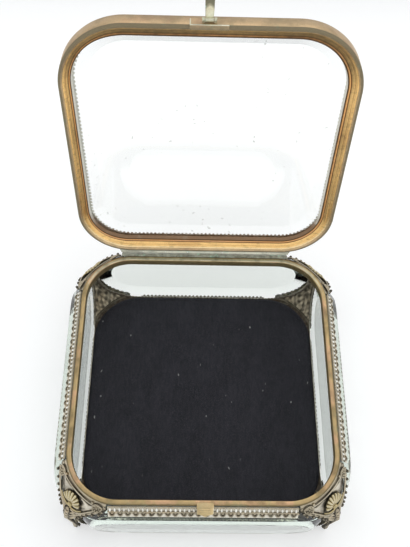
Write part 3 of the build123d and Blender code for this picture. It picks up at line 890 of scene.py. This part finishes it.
def smooth_curve(points, count):
    """Even points on a smooth curve through the given ones."""
    p = np.asarray(points, float)
    n = len(p)
    ext = np.concatenate([[2 * p[0] - p[1]], p, [2 * p[-1] - p[-2]]])
    out = []
    for t in np.linspace(0, n - 1, count):
        i = min(int(t), n - 2)
        u = t - i
        a, b, c, d = ext[i], ext[i + 1], ext[i + 2], ext[i + 3]
        square, cube = 2 * a - 5 * b + 4 * c - d, 3 * b - a - 3 * c + d
        out.append(0.5 * (2 * b + (c - a) * u + square * u**2 + cube * u**3))
    return np.array(out)


def skin_rod(shape, route, radii, lift=0.25, count=22, sides=8, flat=0.9, tone=(0.1, 0.95)):
    """Tapered rod laid on the mount along (s, z) points."""
    line = smooth_curve(route, count)
    r = np.interp(np.linspace(0, 1, count), np.linspace(0, 1, len(radii)), radii)
    points = np.array([skin.at(s, z, lift) for s, z in line])
    ups = np.array([skin.normal(s, z) for s, z in line])
    tube(shape, points, r, sides, ups, flat, tone=tone)


def skin_bead(shape, s, z, radii, lift=0.2, rows=5, sides=8, tone=(0.1, 1.0)):
    n = skin.normal(s, z)
    e1 = skin.flat_point(s + 0.3, z) - skin.flat_point(s - 0.3, z)
    e1 /= np.linalg.norm(e1)
    e2 = np.cross(n, e1)
    ball(shape, skin.at(s, z, lift), (e1, e2, n), radii, rows, sides, tone)


def skin_ring(shape, s, z, radius, rod, lift=0.3, count=14, tone=(0.0, 0.95), squash=1.0):
    a = np.arange(count) * 2 * PI / count
    points = [skin.at(s + radius * math.cos(t), z + radius * squash * math.sin(t), lift) for t in a]
    ups = [skin.normal(s, z)] * count
    tube(shape, points, rod, 6, ups, 0.9, True, tone)


FAN_Z = 39.2
WING = [(1.4, 36.4), (3.8, 37.0), (6.2, 39.4), (8.2, 42.4), (9.9, 44.6), (11.2, 46.0)]
OUTER_WING = [(1.8, 33.6), (4.2, 34.8), (6.4, 37.6), (8.6, 41.0), (10.8, 43.8), (13.0, 45.6)]


def crockets(shape, sign, z_from, z_to, pitch, size):
    """Small hooks along the mount's outer edge."""
    zs = np.linspace(z_from, z_to, 60)
    edge = np.array([(sheet_edge(z) + 0.2 + size, z) for z in zs])
    length = np.concatenate([[0], np.cumsum(np.linalg.norm(np.diff(edge, axis=0), axis=1))])
    for k in range(int(length[-1] / pitch) + 1):
        s = sign * float(np.interp(k * pitch, length, edge[:, 0]))
        z = float(np.interp(k * pitch, length, edge[:, 1]))
        hook = [
            (s - sign * 1.1, z + 0.3), (s - sign * 0.2, z + 0.75 * size),
            (s + sign * 0.7 * size, z), (s, z - 0.6 * size),
        ]
        stout = 0.42 * size / 0.7
        skin_rod(shape, hook, [0.3, stout, stout, 0.4], 0.35, 12, 6, 1.0, (-0.5, 0.3))
        if size > 0.6:
            skin_bead(shape, s, z, (0.72, 0.62, 0.8), 0.95, 5, 8, (-0.6, 0.45))


def rosette(shape, s, z, size=1.0):
    skin_ring(shape, s, z, 2.0 * size, 0.42, 0.45, 20, (0.0, 0.75))
    for k in range(7):
        a = k * 2 * PI / 7
        skin_bead(shape, s + 1.12 * size * math.cos(a), z + 1.12 * size * math.sin(a), (0.5, 0.5, 0.5), 0.55)
    skin_bead(shape, s, z, (0.6, 0.6, 0.7), 0.65, tone=(0.3, 1.0))


def upper_half(shape, sign):
    """Ornament of one side of the upper spandrel."""
    edge = [(sign * (sheet_edge(z) - 0.3), z) for z in (26.5, 31, 35, 39, 43, 46.6)]
    skin_rod(shape, edge, [0.6, 0.5, 0.42, 0.4, 0.45, 0.45], 0.15, 26, tone=(-0.6, 0.7))
    for route, thick, lift, tone in (
        (WING, [0.45, 0.52, 0.5, 0.45, 0.42, 0.4], 0.65, (-1.2, 1.5)),
        (OUTER_WING, [0.45, 0.5, 0.48, 0.45, 0.42, 0.4], 0.5, (-1.2, 1.4)),
    ):
        skin_rod(shape, [(sign * s, z) for s, z in route], thick, lift, 26, tone=tone)
    for low, out in ((33.8, 3.0), (31.6, 4.2), (29.4, 5.4), (27.2, 6.4)):
        leaf = [
            (sign * 1.2, low - 1.6), (sign * out * 0.6, low - 0.2),
            (sign * out, low + 1.2), (sign * (out + 1.2), low + 0.2),
        ]
        skin_rod(shape, leaf, [0.4, 0.55, 0.5, 0.3], 0.45, 18, 7, 0.9, (-0.9, 1.35))
        skin_bead(shape, sign * (out + 0.9), low - 0.5, (0.5, 0.5, 0.5), 0.3, tone=(-0.5, 1.0))
    for s, z in ((3.0, 35.4), (5.0, 36.6), (6.8, 39.2), (8.5, 41.9), (10.4, 44.2)):
        skin_bead(shape, sign * s, z, (0.5, 0.5, 0.5), 0.35, tone=(0.1, 0.9))
    crockets(shape, sign, 45.6, 27.0, 3.0, 0.8)
    rosette(shape, sign * 11.8, 47.7)
    skin_bead(shape, sign * 8.8, 48.9, (0.7, 0.6, 0.7), 0.5, 6, 9, tone=(0.6, 1.3))


def upper_shell(shape):
    """Ribbed shell that opens towards the rim, as one pressed surface."""
    ribs, around, rows = 8, 97, 15
    angles = np.linspace(-1.15, 1.15, around)
    points, tones = [], []
    for i in range(rows):
        t = i / (rows - 1)
        for a in angles:
            wave = abs(math.sin((a + 1.15) / 2.3 * ribs * PI))
            reach = 6.7 - 0.8 * abs(a) ** 1.6 + 0.5 * wave * t
            r = 0.9 + (reach - 0.9) * t
            side_fall = min(1.0, (1.15 - abs(a)) / 0.12)
            rise = 0.2 + (0.3 + 1.0 * wave * min(1.0, t * 1.6)) * side_fall * (1.0 if t < 0.93 else 0.5)
            points.append(skin.at(r * math.sin(a) * 0.92, FAN_Z + r * math.cos(a), rise))
            # Painted shade in the grooves between ribs and painted highlights on the rib crests.
            tones.append(max(-0.6, 3.9 * wave - 2.4) if t > 0.16 else 0.5)
    shape.add(points, [f[::-1] for f in grid_faces(rows, around)], tones)


def shell_base(shape):
    """Boss and collar at the foot of the shell."""
    skin_bead(shape, 0, FAN_Z - 0.3, (1.5, 1.2, 1.1), 0.6, 7, 12, tone=(0.2, 1.1))
    for sign in (-1, 1):
        collar = [(sign * 0.8, 37.9), (sign * 2.8, 38.4), (sign * 4.8, 39.6), (sign * 6.6, 41.6)]
        skin_rod(shape, collar, [0.5, 0.55, 0.45, 0.3], 0.9, 18, tone=(0.2, 1.2))


def shoulder(shape, level, radius, low, drop, tones):
    """Sheet that joins the mount's skin to the rim's or bottom frame's round edge."""
    columns = 49
    points, shades = [], []
    for i, t in enumerate((0.0, 0.25, 0.5, 0.75, 1.0)):
        for j in range(columns):
            s = -15.4 + 30.8 * j / (columns - 1)
            a = math.radians(45 + 2.2 * s)
            start = np.array([CORNER_CENTRE + radius * math.cos(a), CORNER_CENTRE + radius * math.sin(a), level])
            end = skin.at(s, low, drop)
            points.append(start * (1 - t) + end * t + np.array([0, 0, 0.25 * math.sin(PI * t)]))
            shades.append(tones[i])
    faces = grid_faces(5, columns)
    shape.add(points, faces if low > level else [f[::-1] for f in faces], shades)


def mount_sheet(shape):
    """Sheet under the ornament, pressed to look pierced: its dark slot is painted shade of an opening, and its pale
    field is painted light from the glass behind.
    """
    zs = np.arange(PANEL_LOW, PANEL_TOP - 0.2, 0.55)
    columns = 61
    points, tones = [], []
    for z in zs:
        half = sheet_edge(z)
        for j in range(columns):
            s = (-1 + 2 * j / (columns - 1)) * half
            relief, tone = mount_relief(s, z, half)
            points.append(skin.at(s, z, relief - 0.45))
            tones.append(tone)
    shape.add(points, grid_faces(len(zs), columns), tones)


def mount_relief(s, z, half):
    """Height of the pressing and its tone at a point of the mount."""
    a = abs(s)
    relief = 0.16 * math.sin(a * 1.6 + 1.4 * math.sin(z * 0.55)) * math.cos(z * 1.15 + 1.2 * math.sin(a * 0.7))
    tone = 0.2 + 1.8 * relief
    fan = math.hypot(s / 0.92, z - FAN_Z)
    wing = np.interp(z, [p[1] for p in WING], [p[0] for p in WING])
    # Painted light: a pale field where the lit glass behind would show through.
    if 40.0 < z < 46.6 and fan > 6.6 and a < wing - 0.5:
        relief, tone = -0.1, 1.7
    # Painted shade: a dark pressed slot stands for an opening in shade.
    if 45.6 < z < 47.4 and a < 9.6 - abs(z - 46.5) * 2:
        relief, tone = -0.75, -1.5
    if z < 24:
        leaf = math.cos(min(a / max(half, 1), 1) * PI / 2)
        relief += 0.35 * leaf + 0.18 * math.sin(a * 2.4 + z * 0.8)
        tone += 0.2 * leaf
    return relief, tone


def lower_half(shape, sign):
    """Ornament of one side of the lower spandrel."""
    edge = [(sign * (sheet_edge(z) - 0.4), z) for z in (26, 21, 16.5, 12.5, 8.5, 4.4)]
    skin_rod(shape, edge, [0.7, 0.65, 0.6, 0.6, 0.55, 0.45], 0.15, 26, tone=(-0.6, 0.8))
    inner = [(sign * (skin.half_width(z) - 2.2), z) for z in (25, 20.5, 16.5, 12.5, 8.5, 5.2)]
    skin_rod(shape, inner, [0.5, 0.5, 0.45, 0.45, 0.4, 0.35], 0.4, 26, tone=(-0.9, 1.2))
    crockets(shape, sign, 24.5, 5.0, 2.4, 0.45)
    for k in range(4):
        z = 17.0 - k * 3.4
        curl = [
            (sign * 1.2, z), (sign * (3.4 + k), z + 0.9),
            (sign * (5.2 + 1.6 * k), z - 0.4), (sign * (5.6 + 1.8 * k), z - 1.8),
        ]
        skin_rod(shape, curl, [0.3, 0.5, 0.45, 0.3], 0.3, 16, tone=(-0.9, 1.2))


def foot(shape):
    """Leaf foot that hangs from the waist straight down to the shelf."""
    direction = np.array([1, 1, 0]) * math.sqrt(0.5)
    across = np.array([-1, 1, 0]) * math.sqrt(0.5)
    # height, half width, distance of the face beyond the waist or skin, depth of the midrib
    rows = [
        (36.6, 0.4, 0.9, 0.6), (35.0, 1.3, 1.0, 1.0), (32.5, 1.8, 0.9, 1.1), (29.0, 1.7, 0.6, 1.1),
        (25.5, 1.8, 0.4, 1.0), (21.0, 2.6, 0.2, 0.9), (16.0, 4.0, 0.0, 0.9), (12.0, 4.6, -0.1, 0.9),
        (8.0, 3.6, -0.3, 0.9), (4.5, 2.5, -0.3, 0.8), (1.5, 1.8, 0.0, 0.8), (-1.5, 1.35, 0.35, 0.7),
        (-4.0, 0.95, 0.6, 0.6), (-5.6, 0.65, 0.6, 0.5), (-6.0, 0.45, 0.5, 0.4),
    ]
    z = np.array([r[0] for r in rows])
    fine = np.linspace(z[0], z[-1], 90)

    def track(column):
        values = np.array([r[column] for r in rows])
        return np.interp(-fine, -z, values)

    widths, faces_out, ribs = track(1), track(2), track(3)
    profile = np.linspace(-1, 1, 17)
    above = np.maximum(fine - PANEL_MIDDLE, 0) / END_RADIUS
    waist = (RIM_CORNER + MOUNT_REACH * (1 - above**MOUNT_FULLNESS)) * math.sqrt(2)
    points, tones = [], []
    for i, level in enumerate(fine):
        lobes = 1 + 0.13 * math.sin(level * 1.55)
        for u in profile:
            side = u * widths[i] * lobes
            bulge = -0.55 * (abs(u) ** 1.6) * widths[i] * 0.5
            midrib = ribs[i] * math.exp(-((u / 0.16) ** 2)) * 0.55
            veins = 0.2 * math.cos((abs(u) * 7.0 + level * 2.6)) * (1 - abs(u) * 0.3)
            out = waist[i] + faces_out[i] + bulge + midrib + veins - 0.7
            points.append(direction * out + across * side + np.array([0, 0, level]))
            tones.append(0.1 + 0.8 * midrib + 3.2 * veins - 0.4 * abs(u) ** 3)
    shape.add(points, grid_faces(len(fine), len(profile)), tones)


def make_mounts():
    sheet, ornament, leaf, shell = Shape(), Shape(), Shape(), Shape()
    mount_sheet(sheet)
    shoulder(sheet, 49.9, RIM_RADIUS - 0.06, 48.0, -0.1, (0.9, 0.7, 0.6, 0.7, 0.9))
    shoulder(sheet, 2.7, RIM_RADIUS - 0.2, 4.0, -0.6, (0.1, 0.3, 0.3, 0.2, 0.1))
    upper_shell(shell)
    shell_base(shell)
    for sign in (-1, 1):
        upper_half(ornament, sign)
        lower_half(ornament, sign)
    band = [(-12.5, 47.9), (-8, 47.8), (0, 47.7), (8, 47.8), (12.5, 47.9)]
    skin_rod(ornament, band, [0.3, 0.36, 0.36, 0.36, 0.3], 0.45, 44, tone=(-0.3, 1.6))
    foot(leaf)
    for corner, degrees in CORNERS.items():
        for kind, made, finish, thick, replaced in (
            ("mount_sheet", sheet, pressed_gilt, 0.45, [f"corner_mount_{corner}"]),
            ("mount_ornament", ornament, pressed_gilt, 0.0, ()),
            ("mount_shell", shell, shell_gilt, 0.35, ()),
            ("leaf_foot", leaf, pressed_gilt, 0.9, ()),
        ):
            name = f"{kind}_{corner}"
            make_piece(name, made, "casket", finish, replaced, 179, thick, lambda p: turn(p, degrees))


make_mounts()


# ---- lid ---------------------------------------------------------------------
def lid_ring(name, section, tones, material, replaces, wave=0.0, seed=0, sharp=50, shade=None, pull=None):
    shape = Shape()
    swept_ring(shape, HALF, LID_RADII, LID_UNDER, section, tones, 1.5, 30, wave, seed, shade, pull)
    make_piece(name, shape, "lid", material, replaces, sharp, move=opened)


def rail_painted_light(path):
    """Painted light and shade by side: the rail beside the hinge is painted bright, the far rail darkest and the side
    rails in between.
    """
    near = np.clip((path[:, 1] - 18.0) / 40.0, 0, 1)
    far = np.clip((-path[:, 1] - 40.0) / 20.0, 0, 1)
    wander = 0.05 * np.sin(path[:, 0] * 0.11 + 1.0) + 0.05 * np.sin(path[:, 1] * 0.17)
    return 0.4 - 0.22 * far + 0.58 * near**1.2 + wander


def wall_painted_shade(path):
    """Painted shade: the cove's inner wall and the lining are painted pale at the sides and brown beside the hinge,
    where they lie in shade.
    """
    near = np.clip((path[:, 1] - 30.0) / 30.0, 0, 1)
    return 1.15 - 1.5 * near


def cove_narrowing(path):
    """The cove was fitted by hand and is narrower on the left."""
    left = np.clip((-path[:, 0] - 36.0) / 24.0, 0, 1)
    return -1.05 * left * left * (3 - 2 * left)


def make_lid_metal():
    lip = [
        (1.78, 1.5), (1.8, 0.95), (1.66, 0.5), (1.34, 0.14), (0.92, -0.02), (0.52, 0.05), (0.2, 0.28),
        (0.04, 0.68), (0.02, 1.1), (0.1, 1.3), (0.0, 1.55), (0.0, 4.0), (0.0, 7.3), (0.2, 7.7), (1.1, 7.7),
        (1.2, 7.5), (1.2, 1.5),
    ]
    lip_tones = [0.2, 0.5, 0.6, 0.4, 0.1, -0.1, -0.2, -0.2, -0.2, 0.0, 0.7, 1.15, 1.1, 0.6, 0.3, 0.1, 0.0]
    lid_ring("lid_band", lip, lip_tones, band_gilt, ["lid_frame"], 0.05, 8)
    cove = [
        (1.74, 0.95), (1.92, 1.02), (2.2, 1.16), (2.42, 1.36), (2.56, 1.34), (2.86, 1.66),
        (3.1, 1.98), (3.34, 1.93), (3.66, 2.16), (4.1, 2.42), (4.5, 2.62), (4.4, 3.1), (3.1, 2.75), (1.75, 1.7),
    ]
    # The section tones paint highlight lines on the crests and shade in the grooves.
    cove_tones = [1.2, 1.9, 2.1, 1.8, 0.8, 1.5, 0.7, 1.15, 1.2, 1.05, 0.8, 0, 0, 0]
    lid_ring("lid_cove", cove, cove_tones, cove_gilt, ["lid_moulding"], 0.04, 9, 60, rail_painted_light, cove_narrowing)
    bead = [
        (4.46, 2.62), (4.68, 2.88), (4.86, 2.72), (5.2, 2.72), (5.5, 2.82), (5.62, 3.04), (5.76, 2.86),
        (5.96, 2.84), (6.04, 3.02), (6.02, 3.3), (5.5, 3.6), (4.5, 3.2),
    ]
    # The bead's high crest tone paints a thin highlight line.
    bead_tones = [0.5, 0.1, 1.3, 1.6, 1.1, 0.1, 0.2, 0.1, 0.0, 0.0, 0.0, 0.0]
    lid_ring("lid_cove_bead", bead, bead_tones, bead_gilt, (), 0.04, 9, 60, rail_painted_light, cove_narrowing)
    wall = [(6.02, 3.25), (6.1, 3.9), (6.25, 4.6), (6.45, 5.18), (6.2, 5.2), (6.0, 4.7), (5.85, 4.0), (5.8, 3.3)]
    lid_ring("lid_cove_wall", wall, [0.7, 1, 1, 1, 0.5, 0, 0, 0], chalky_edge, (), 0.04, 9, 60, wall_painted_shade, cove_narrowing)


def make_lid_claws():
    """Folded strip, its pale lining and small scallops that reach in over the lid glass."""
    shape = Shape()
    seat = LID_UNDER + LID_GLASS_LOW + LID_GLASS_EDGE
    slope = (LID_GLASS_THICK - LID_GLASS_EDGE) / LID_BEVEL
    section = [(0.2, 7.78), (0.35, 8.4), (1.9, 8.45), (5.4, 9.1), (5.55, 8.9), (5.4, 8.4), (1.9, 7.85)]
    lid_ring("lid_claw_strip", section, [0.5, 0.6, 0.8, 0.9, 0.7, 0.2, 0.2], band_gilt, ["lid_claws"])
    lining = [(1.9, 7.84), (5.4, 8.38), (5.58, 8.85), (5.66, 8.83), (5.48, 8.32), (1.9, 7.77)]
    swept_ring(shape, HALF, LID_RADII, LID_UNDER, lining, 1.2, 2.0, 24, 0.0, 0, wall_painted_shade)
    row = 5.75
    base, out = rounded_square(HALF, LID_RADII, 1.0, 40)
    path = base - out * row
    steps = np.linalg.norm(np.roll(path, -1, 0) - path, axis=1)
    total = steps.sum()
    length = np.concatenate([[0], np.cumsum(steps)])
    path2 = np.concatenate([path, path[:1]])
    count = int(total / 2.0)
    rnd = random.Random(4)
    for i in range(count):
        where = (i + 0.5) * total / count
        x = np.interp(where, length, path2[:, 0])
        y = np.interp(where, length, path2[:, 1])
        k = min(int(np.searchsorted(length, where)) - 1, len(out) - 1)
        inward = -np.array([out[k][0], out[k][1], 0.0])
        along = np.cross([0, 0, 1.0], inward)
        size = 1.0 + rnd.uniform(-0.08, 0.08)
        z = seat + slope * (row - LID_GLASS_INSET) + 0.42
        # Tone lower towards the hinge, with a little random spread.
        scallop_tone = 1.2 - 1.0 * min(max((y - 30) / 30, 0), 1) + rnd.uniform(-0.15, 0.15)
        up = np.array([0, 0, 1.0])
        reach = 0.5 + 0.3 * min(max((y + 15) / 50, 0), 1)
        ball(shape, (x, y, z), (along, inward, up), (0.72 * size, reach * size, 0.34), tone=(scallop_tone, scallop_tone))
    make_piece("lid_scallops", shape, "lid", chalky_edge, (), 60, move=opened)


def make_lid_glass():
    shape = Shape()
    low = LID_UNDER + LID_GLASS_LOW

    def outline(inset):
        path, out = rounded_square(HALF, LID_RADII, 3.0, 30)
        return path - out * (LID_GLASS_INSET + inset)

    stack = [
        (outline(0.2), 0.0), (outline(0), 0.2), (outline(0), LID_GLASS_EDGE),
        (outline(LID_BEVEL - 0.15), LID_GLASS_THICK - 0.05), (outline(LID_BEVEL + 0.15), LID_GLASS_THICK),
    ]
    layered_plate(shape, stack, lambda a, b, d: opened(np.stack([a, b, low + d], -1)))
    make_piece("lid_plate_glass", shape, "lid", top_glass, ["lid_glass"], 6.0)


make_lid_metal()
make_lid_claws()
make_lid_glass()


# ---- hinge, keeper and hasp --------------------------------------------------
def rod_x(shape, x0, x1, y, z, radius, sides=20, tone=(0.3, 0.6), rings=2):
    xs = np.linspace(x0, x1, rings)
    points = np.stack([xs, np.full(rings, y), np.full(rings, z)], -1)
    tube(shape, points, radius, sides, (0, 0, 1), 1.0, tone=tone)


def box_bar(shape, x0, x1, section, tone=0.5, steps=12):
    """Bar along X with a closed (y, z) section."""
    xs = np.linspace(x0, x1, steps)
    n = len(section)
    points = [(x, y, z) for x in xs for y, z in section]
    faces = grid_faces(steps, n, False, True)
    faces.append(tuple(range(n))[::-1])
    faces.append(tuple((steps - 1) * n + i for i in range(n)))
    shape.add(points, faces, tone)


def make_hinge():
    box_leaf = Shape()
    rod_x(box_leaf, -8.95, 8.95, HINGE_Y, HINGE_Z, KNUCKLE, 24, (1.1, 0.6), 8)
    box_bar(box_leaf, -9, 9, [(63.4, 50.1), (64.4, 50.1), (64.4, 53.4), (63.4, 53.4)], 0.3)
    apron = [(62.7, 50.3), (62.7, 49.85), (63.6, 49.85), (66.6, 46.2), (67.2, 46.7), (64.2, 50.3)]
    box_bar(box_leaf, -HINGE_HALF, HINGE_HALF, apron, 0.3, 40)
    make_piece("hinge_lower_leaf", box_leaf, "casket", hinge_green, ["hinge_box_leaf"], 40)
    pin = Shape()
    rod_x(pin, -44.1, 44.1, HINGE_Y, HINGE_Z, HINGE_PIN, 14, (0.2, 0.4), 4)
    make_piece("hinge_wire", pin, "casket", green_brass, ["hinge_pin"], 40)
    lid_leaf = Shape()
    for sign in (-1, 1):
        for near, far in ((9.25, 20.4), (20.65, 32.0), (32.25, 43.45)):
            # The knuckles' tone paints a highlight on the side that faces up and forward when the lid is open, and
            # shade on the side towards the casket.
            rod_x(lid_leaf, sign * near, sign * far, HINGE_Y, HINGE_Z, KNUCKLE, 24, (1.7, 0.0), 8)
        x0, x1 = sorted((sign * 9.2, sign * HINGE_HALF))
        box_bar(lid_leaf, x0, x1, [(62.6, 54.3), (63.3, 54.3), (63.3, 56.1), (62.6, 56.1)], 0.5, 16)
    box_bar(lid_leaf, -HINGE_HALF, HINGE_HALF, [(62.6, 56.1), (63.3, 56.1), (63.3, 58.3), (62.6, 58.3)], 0.5, 30)
    make_piece("hinge_upper_leaf", lid_leaf, "lid", hinge_green, ["hinge_lid_leaf"], move=opened)


def make_keeper():
    """Shield that hangs from the rim over the gallery, with fine lines across it."""
    shape = Shape()
    width = 3.75
    downs = list(np.linspace(-0.3, 2.3, 26)) + list(np.linspace(2.4, 4.0, 14))
    columns = 15
    points, tones = [], []
    for tab in (0.0, 0.5, 1.0):
        for j in range(columns):
            u = -1 + 2 * j / (columns - 1)
            points.append((KEEPER_X + u * width, -(61.2 + tab * 1.3), RIM_TOP + 0.12))
            tones.append(0.7)
    for d in downs:
        shrink = 1.0 if d < 2.3 else max(0.02, 1 - ((d - 2.3) / 1.75) ** 1.5)
        for j in range(columns):
            u = -1 + 2 * j / (columns - 1)
            rim_edge = 0.12 * math.exp(-((1 - abs(u)) / 0.16) ** 2)
            line = 0.07 * math.cos(d * 5.2) * (1 - abs(u) ** 4)
            p = on_bevel(KEEPER_X + u * width * shrink, d, 1.38 + rim_edge + line)
            points.append(p)
            tones.append(0.35 + 5.0 * line + 12.0 * rim_edge)
    shape.add(points, grid_faces(len(downs) + 3, columns), tones)
    make_piece("keeper", shape, "casket", shield_gilt, ["keeper_shield"], 60, 0.5)


def hasp_place(points):
    return opened(points) + np.array([HASP_X, 0.0, 0.0])


def make_hasp():
    bracket, trim, pin, tongue = Shape(), Shape(), Shape(), Shape()
    plate = [
        (-61.1, 51.48), (-62.5, 51.48), (-62.55, 56.5), (-62.75, 56.62), (-63.05, 56.5), (-63.05, 51.4),
        (-62.9, 51.28), (-61.1, 51.28),
    ]
    plate_tones = np.tile([0.2, 0.2, 0.7, 0.9, 0.9, 0.8, 0.3, 0.2], 14)
    box_bar(bracket, -HASP_HALF, HASP_HALF, plate, plate_tones, 14)
    for sign in (-1, 1):
        rod_x(trim, sign * 1.85, sign * 2.85, HASP_Y, HASP_Z, HASP_KNUCKLE, 16, (0.4, 0.7))
        x0, x1 = sorted((sign * 1.85, sign * 2.85))
        box_bar(trim, x0, x1, [(-64.0, 53.2), (-63.0, 53.1), (-63.0, 54.3), (-64.0, 54.2)], 0.5, 2)
    box_bar(trim, -HASP_HALF, HASP_HALF, [(-62.95, 51.35), (-63.2, 51.4), (-63.2, 51.8), (-63.0, 51.9)], 1.8, 14)
    box_bar(trim, -HASP_HALF, -7.1, [(-63.0, 51.35), (-63.2, 51.4), (-63.2, 56.1), (-63.0, 56.2)], 1.5, 3)
    make_piece("hasp_plate", bracket, "lid", band_gilt, ["hasp_bracket"], move=hasp_place)
    make_piece("hasp_trim", trim, "lid", green_brass, move=hasp_place)
    rod_x(pin, -2.85, 2.85, HASP_Y, HASP_Z, HASP_PIN, 12)
    make_piece("hasp_wire", pin, "lid", green_brass, ["hasp_pin"], move=hasp_place)
    rod_x(tongue, -TONGUE_HALF, TONGUE_HALF, HASP_Y, HASP_Z, HASP_KNUCKLE, 16, (0.4, 0.7), 4)
    top = HASP_Z + HASP_KNUCKLE
    rows, columns = 22, 9
    upper, lower, tones = [], [], []
    for i in range(rows):
        t = i / (rows - 1)
        y = HASP_Y - TONGUE_LENGTH * t
        half = TONGUE_HALF + 0.28 * t
        end = max(0.0, (t - 0.84) / 0.16)
        half *= math.sqrt(max(1 - end**2, 0.02))
        for j in range(columns):
            u = -1 + 2 * j / (columns - 1)
            upper.append((u * half, y, top - 0.1 - 0.12 * abs(u) ** 3))
            lower.append((u * half, y, top - 0.6 + 0.08 * abs(u) ** 3))
            tones.append(1.1 - 1.1 * min(max((t - 0.35) / 0.3, 0), 1) - 0.6 * abs(u) ** 2)
    tongue.add(upper, [f[::-1] for f in grid_faces(rows, columns)], tones)
    tongue.add(lower, grid_faces(rows, columns), tones)
    make_piece("hasp_blade", tongue, "hasp", green_brass, ["hasp_tongue"], 60, move=hasp_place)


make_hinge()
make_keeper()
make_hasp()


# ---- board under the velvet keeps its own solid ------------------------------
board, board_shader, _, board_wires = new_material("plain_board")
board_grain = board_wires.ramp(
    board_wires.noise(board_wires.place(), 160.0, 4.0, 0.6, (1.0, 0.1, 1.0)), 0.3, 0.7
)
board_colour = board_wires.mix(board_grain, (0.30, 0.22, 0.14, 1), (0.42, 0.33, 0.22, 1))
board_wires.give(board_shader, {"Base Color": board_colour, "Roughness": 0.85})
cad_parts["pad_board"].data.materials.clear()
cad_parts["pad_board"].data.materials.append(board)


# ---- floor, light and camera -------------------------------------------------
def make_floor():
    """Pale paper that keeps the object's shadow and glows a little to the camera, less far away. Far away it is
    painted darker as painted shade, and on the near part it glows more to rays through glass, as painted light on its
    shade.
    """
    size, z = 4.0, FLOOR * MM - 0.0002
    mesh = bpy.data.meshes.new("floor")
    mesh.from_pydata([(-size, -size, z), (size, -size, z), (size, size, z), (-size, size, z)], [], [(0, 1, 2, 3)])
    floor = bpy.data.objects.new("floor", mesh)
    bpy.context.scene.collection.objects.link(floor)
    material, shader, output, w = new_material("pale_floor")
    away = w.node("ShaderNodeSeparateXYZ", {"Vector": w.place()}).outputs["Y"]
    # Painted shade: the paper is darker far behind the casket.
    paper = w.mix(w.ramp(away, 0.22, 0.42), (0.83, 0.83, 0.822, 1), (0.63, 0.633, 0.625, 1))
    w.give(shader, {"Base Color": paper, "Roughness": 0.9, "Specular IOR Level": 0.1})
    path = w.node("ShaderNodeLightPath").outputs
    seen = w.most(path["Is Camera Ray"], w.most(path["Is Glossy Ray"], path["Is Transmission Ray"]))
    # Painted light: extra glow on the near floor for rays through glass.
    painted_light_under_glass = w.times(path["Is Transmission Ray"], w.ramp(away, 0.12, 0.04, 0.0, 0.22))
    strength = w.plus(w.times(seen, w.ramp(away, 0.26, 0.46, 0.23, 0.13)), painted_light_under_glass)
    glow = w.node("ShaderNodeEmission", {"Color": (1, 1, 1, 1), "Strength": strength})
    both = w.node("ShaderNodeAddShader", {0: shader.outputs["BSDF"], 1: glow.outputs["Emission"]})
    w.link(both.outputs["Shader"], output.inputs["Surface"])
    mesh.materials.append(material)


def make_world():
    """Soft studio light that is white to the camera and through glass."""
    world = bpy.data.worlds.new("studio")
    bpy.context.scene.world = world
    world.use_nodes = True
    w = Wires(world.node_tree)
    background = world.node_tree.nodes["Background"]
    output = world.node_tree.nodes["World Output"]
    sky = w.node("ShaderNodeTexCoord").outputs["Generated"]
    toward = w.node("ShaderNodeSeparateXYZ", {"Vector": sky}).outputs["Y"]
    w.give(background, {"Color": (0.95, 0.97, 1.0, 1), "Strength": w.ramp(toward, -0.8, 0.45, 1.08, 0.72)})
    white = w.node("ShaderNodeBackground", {"Color": (1, 1, 1, 1), "Strength": 1.0})
    path = w.node("ShaderNodeLightPath").outputs
    seen = w.most(path["Is Camera Ray"], path["Is Transmission Ray"])
    shown = {0: seen, 1: background.outputs["Background"], 2: white.outputs["Background"]}
    w.link(w.node("ShaderNodeMixShader", shown).outputs["Shader"], output.inputs["Surface"])


def area_lamp(name, place, aim, size, power, colour=(1, 1, 1)):
    lamp = bpy.data.lights.new(name, "AREA")
    lamp.shape = "RECTANGLE"
    lamp.size, lamp.size_y = size
    lamp.energy = power
    lamp.color = colour
    made = bpy.data.objects.new(name, lamp)
    made.location = place
    made.rotation_euler = (Vector(aim) - Vector(place)).to_track_quat("-Z", "Y").to_euler()
    bpy.context.scene.collection.objects.link(made)


def make_lamps():
    area_lamp("window", (0.25, 0.75, 1.1), (0, 0, 0.03), (1.2, 0.9), 2.6, (1, 0.99, 0.97))
    area_lamp("left_box", (-1.0, 0.1, 0.8), (0, 0, 0.03), (0.7, 0.9), 1.5, (0.98, 0.99, 1))
    area_lamp("right_box", (1.05, 0.0, 0.75), (0, 0, 0.03), (0.7, 0.9), 1.5)


def make_camera():
    """Camera at the photograph's place; yaw, pitch and roll come from a fit to measured edges."""
    yaw, pitch, roll = 0.0439291, 1.0852645, 0.0543626
    side = 125.0 * MM
    place = Vector((-0.0560863 * side, -0.8865866 * side, 2.4843671 * side + RIM_TOP * MM))
    forward = Vector((math.sin(yaw) * math.cos(pitch), math.cos(yaw) * math.cos(pitch), -math.sin(pitch)))
    right = Vector((math.cos(yaw), -math.sin(yaw), 0))
    up = right.cross(forward)
    c, s = math.cos(roll), math.sin(roll)
    right, up = c * right + s * up, c * up - s * right
    camera = bpy.data.cameras.new("camera")
    camera.sensor_fit = "AUTO"
    sensor, focal_pixels, picture_height = 36.0, 676.871, 547.0
    camera.sensor_width = sensor
    camera.lens = focal_pixels * sensor / picture_height
    camera.clip_start = 0.01
    camera.clip_end = 20.0
    made = bpy.data.objects.new("camera", camera)
    turned = Matrix((right, up, -forward)).transposed().to_4x4()
    made.matrix_world = Matrix.Translation(place) @ turned
    bpy.context.scene.collection.objects.link(made)
    bpy.context.scene.camera = made


make_floor()
make_world()
make_lamps()
make_camera()
bpy.context.scene.view_settings.view_transform = "Standard"
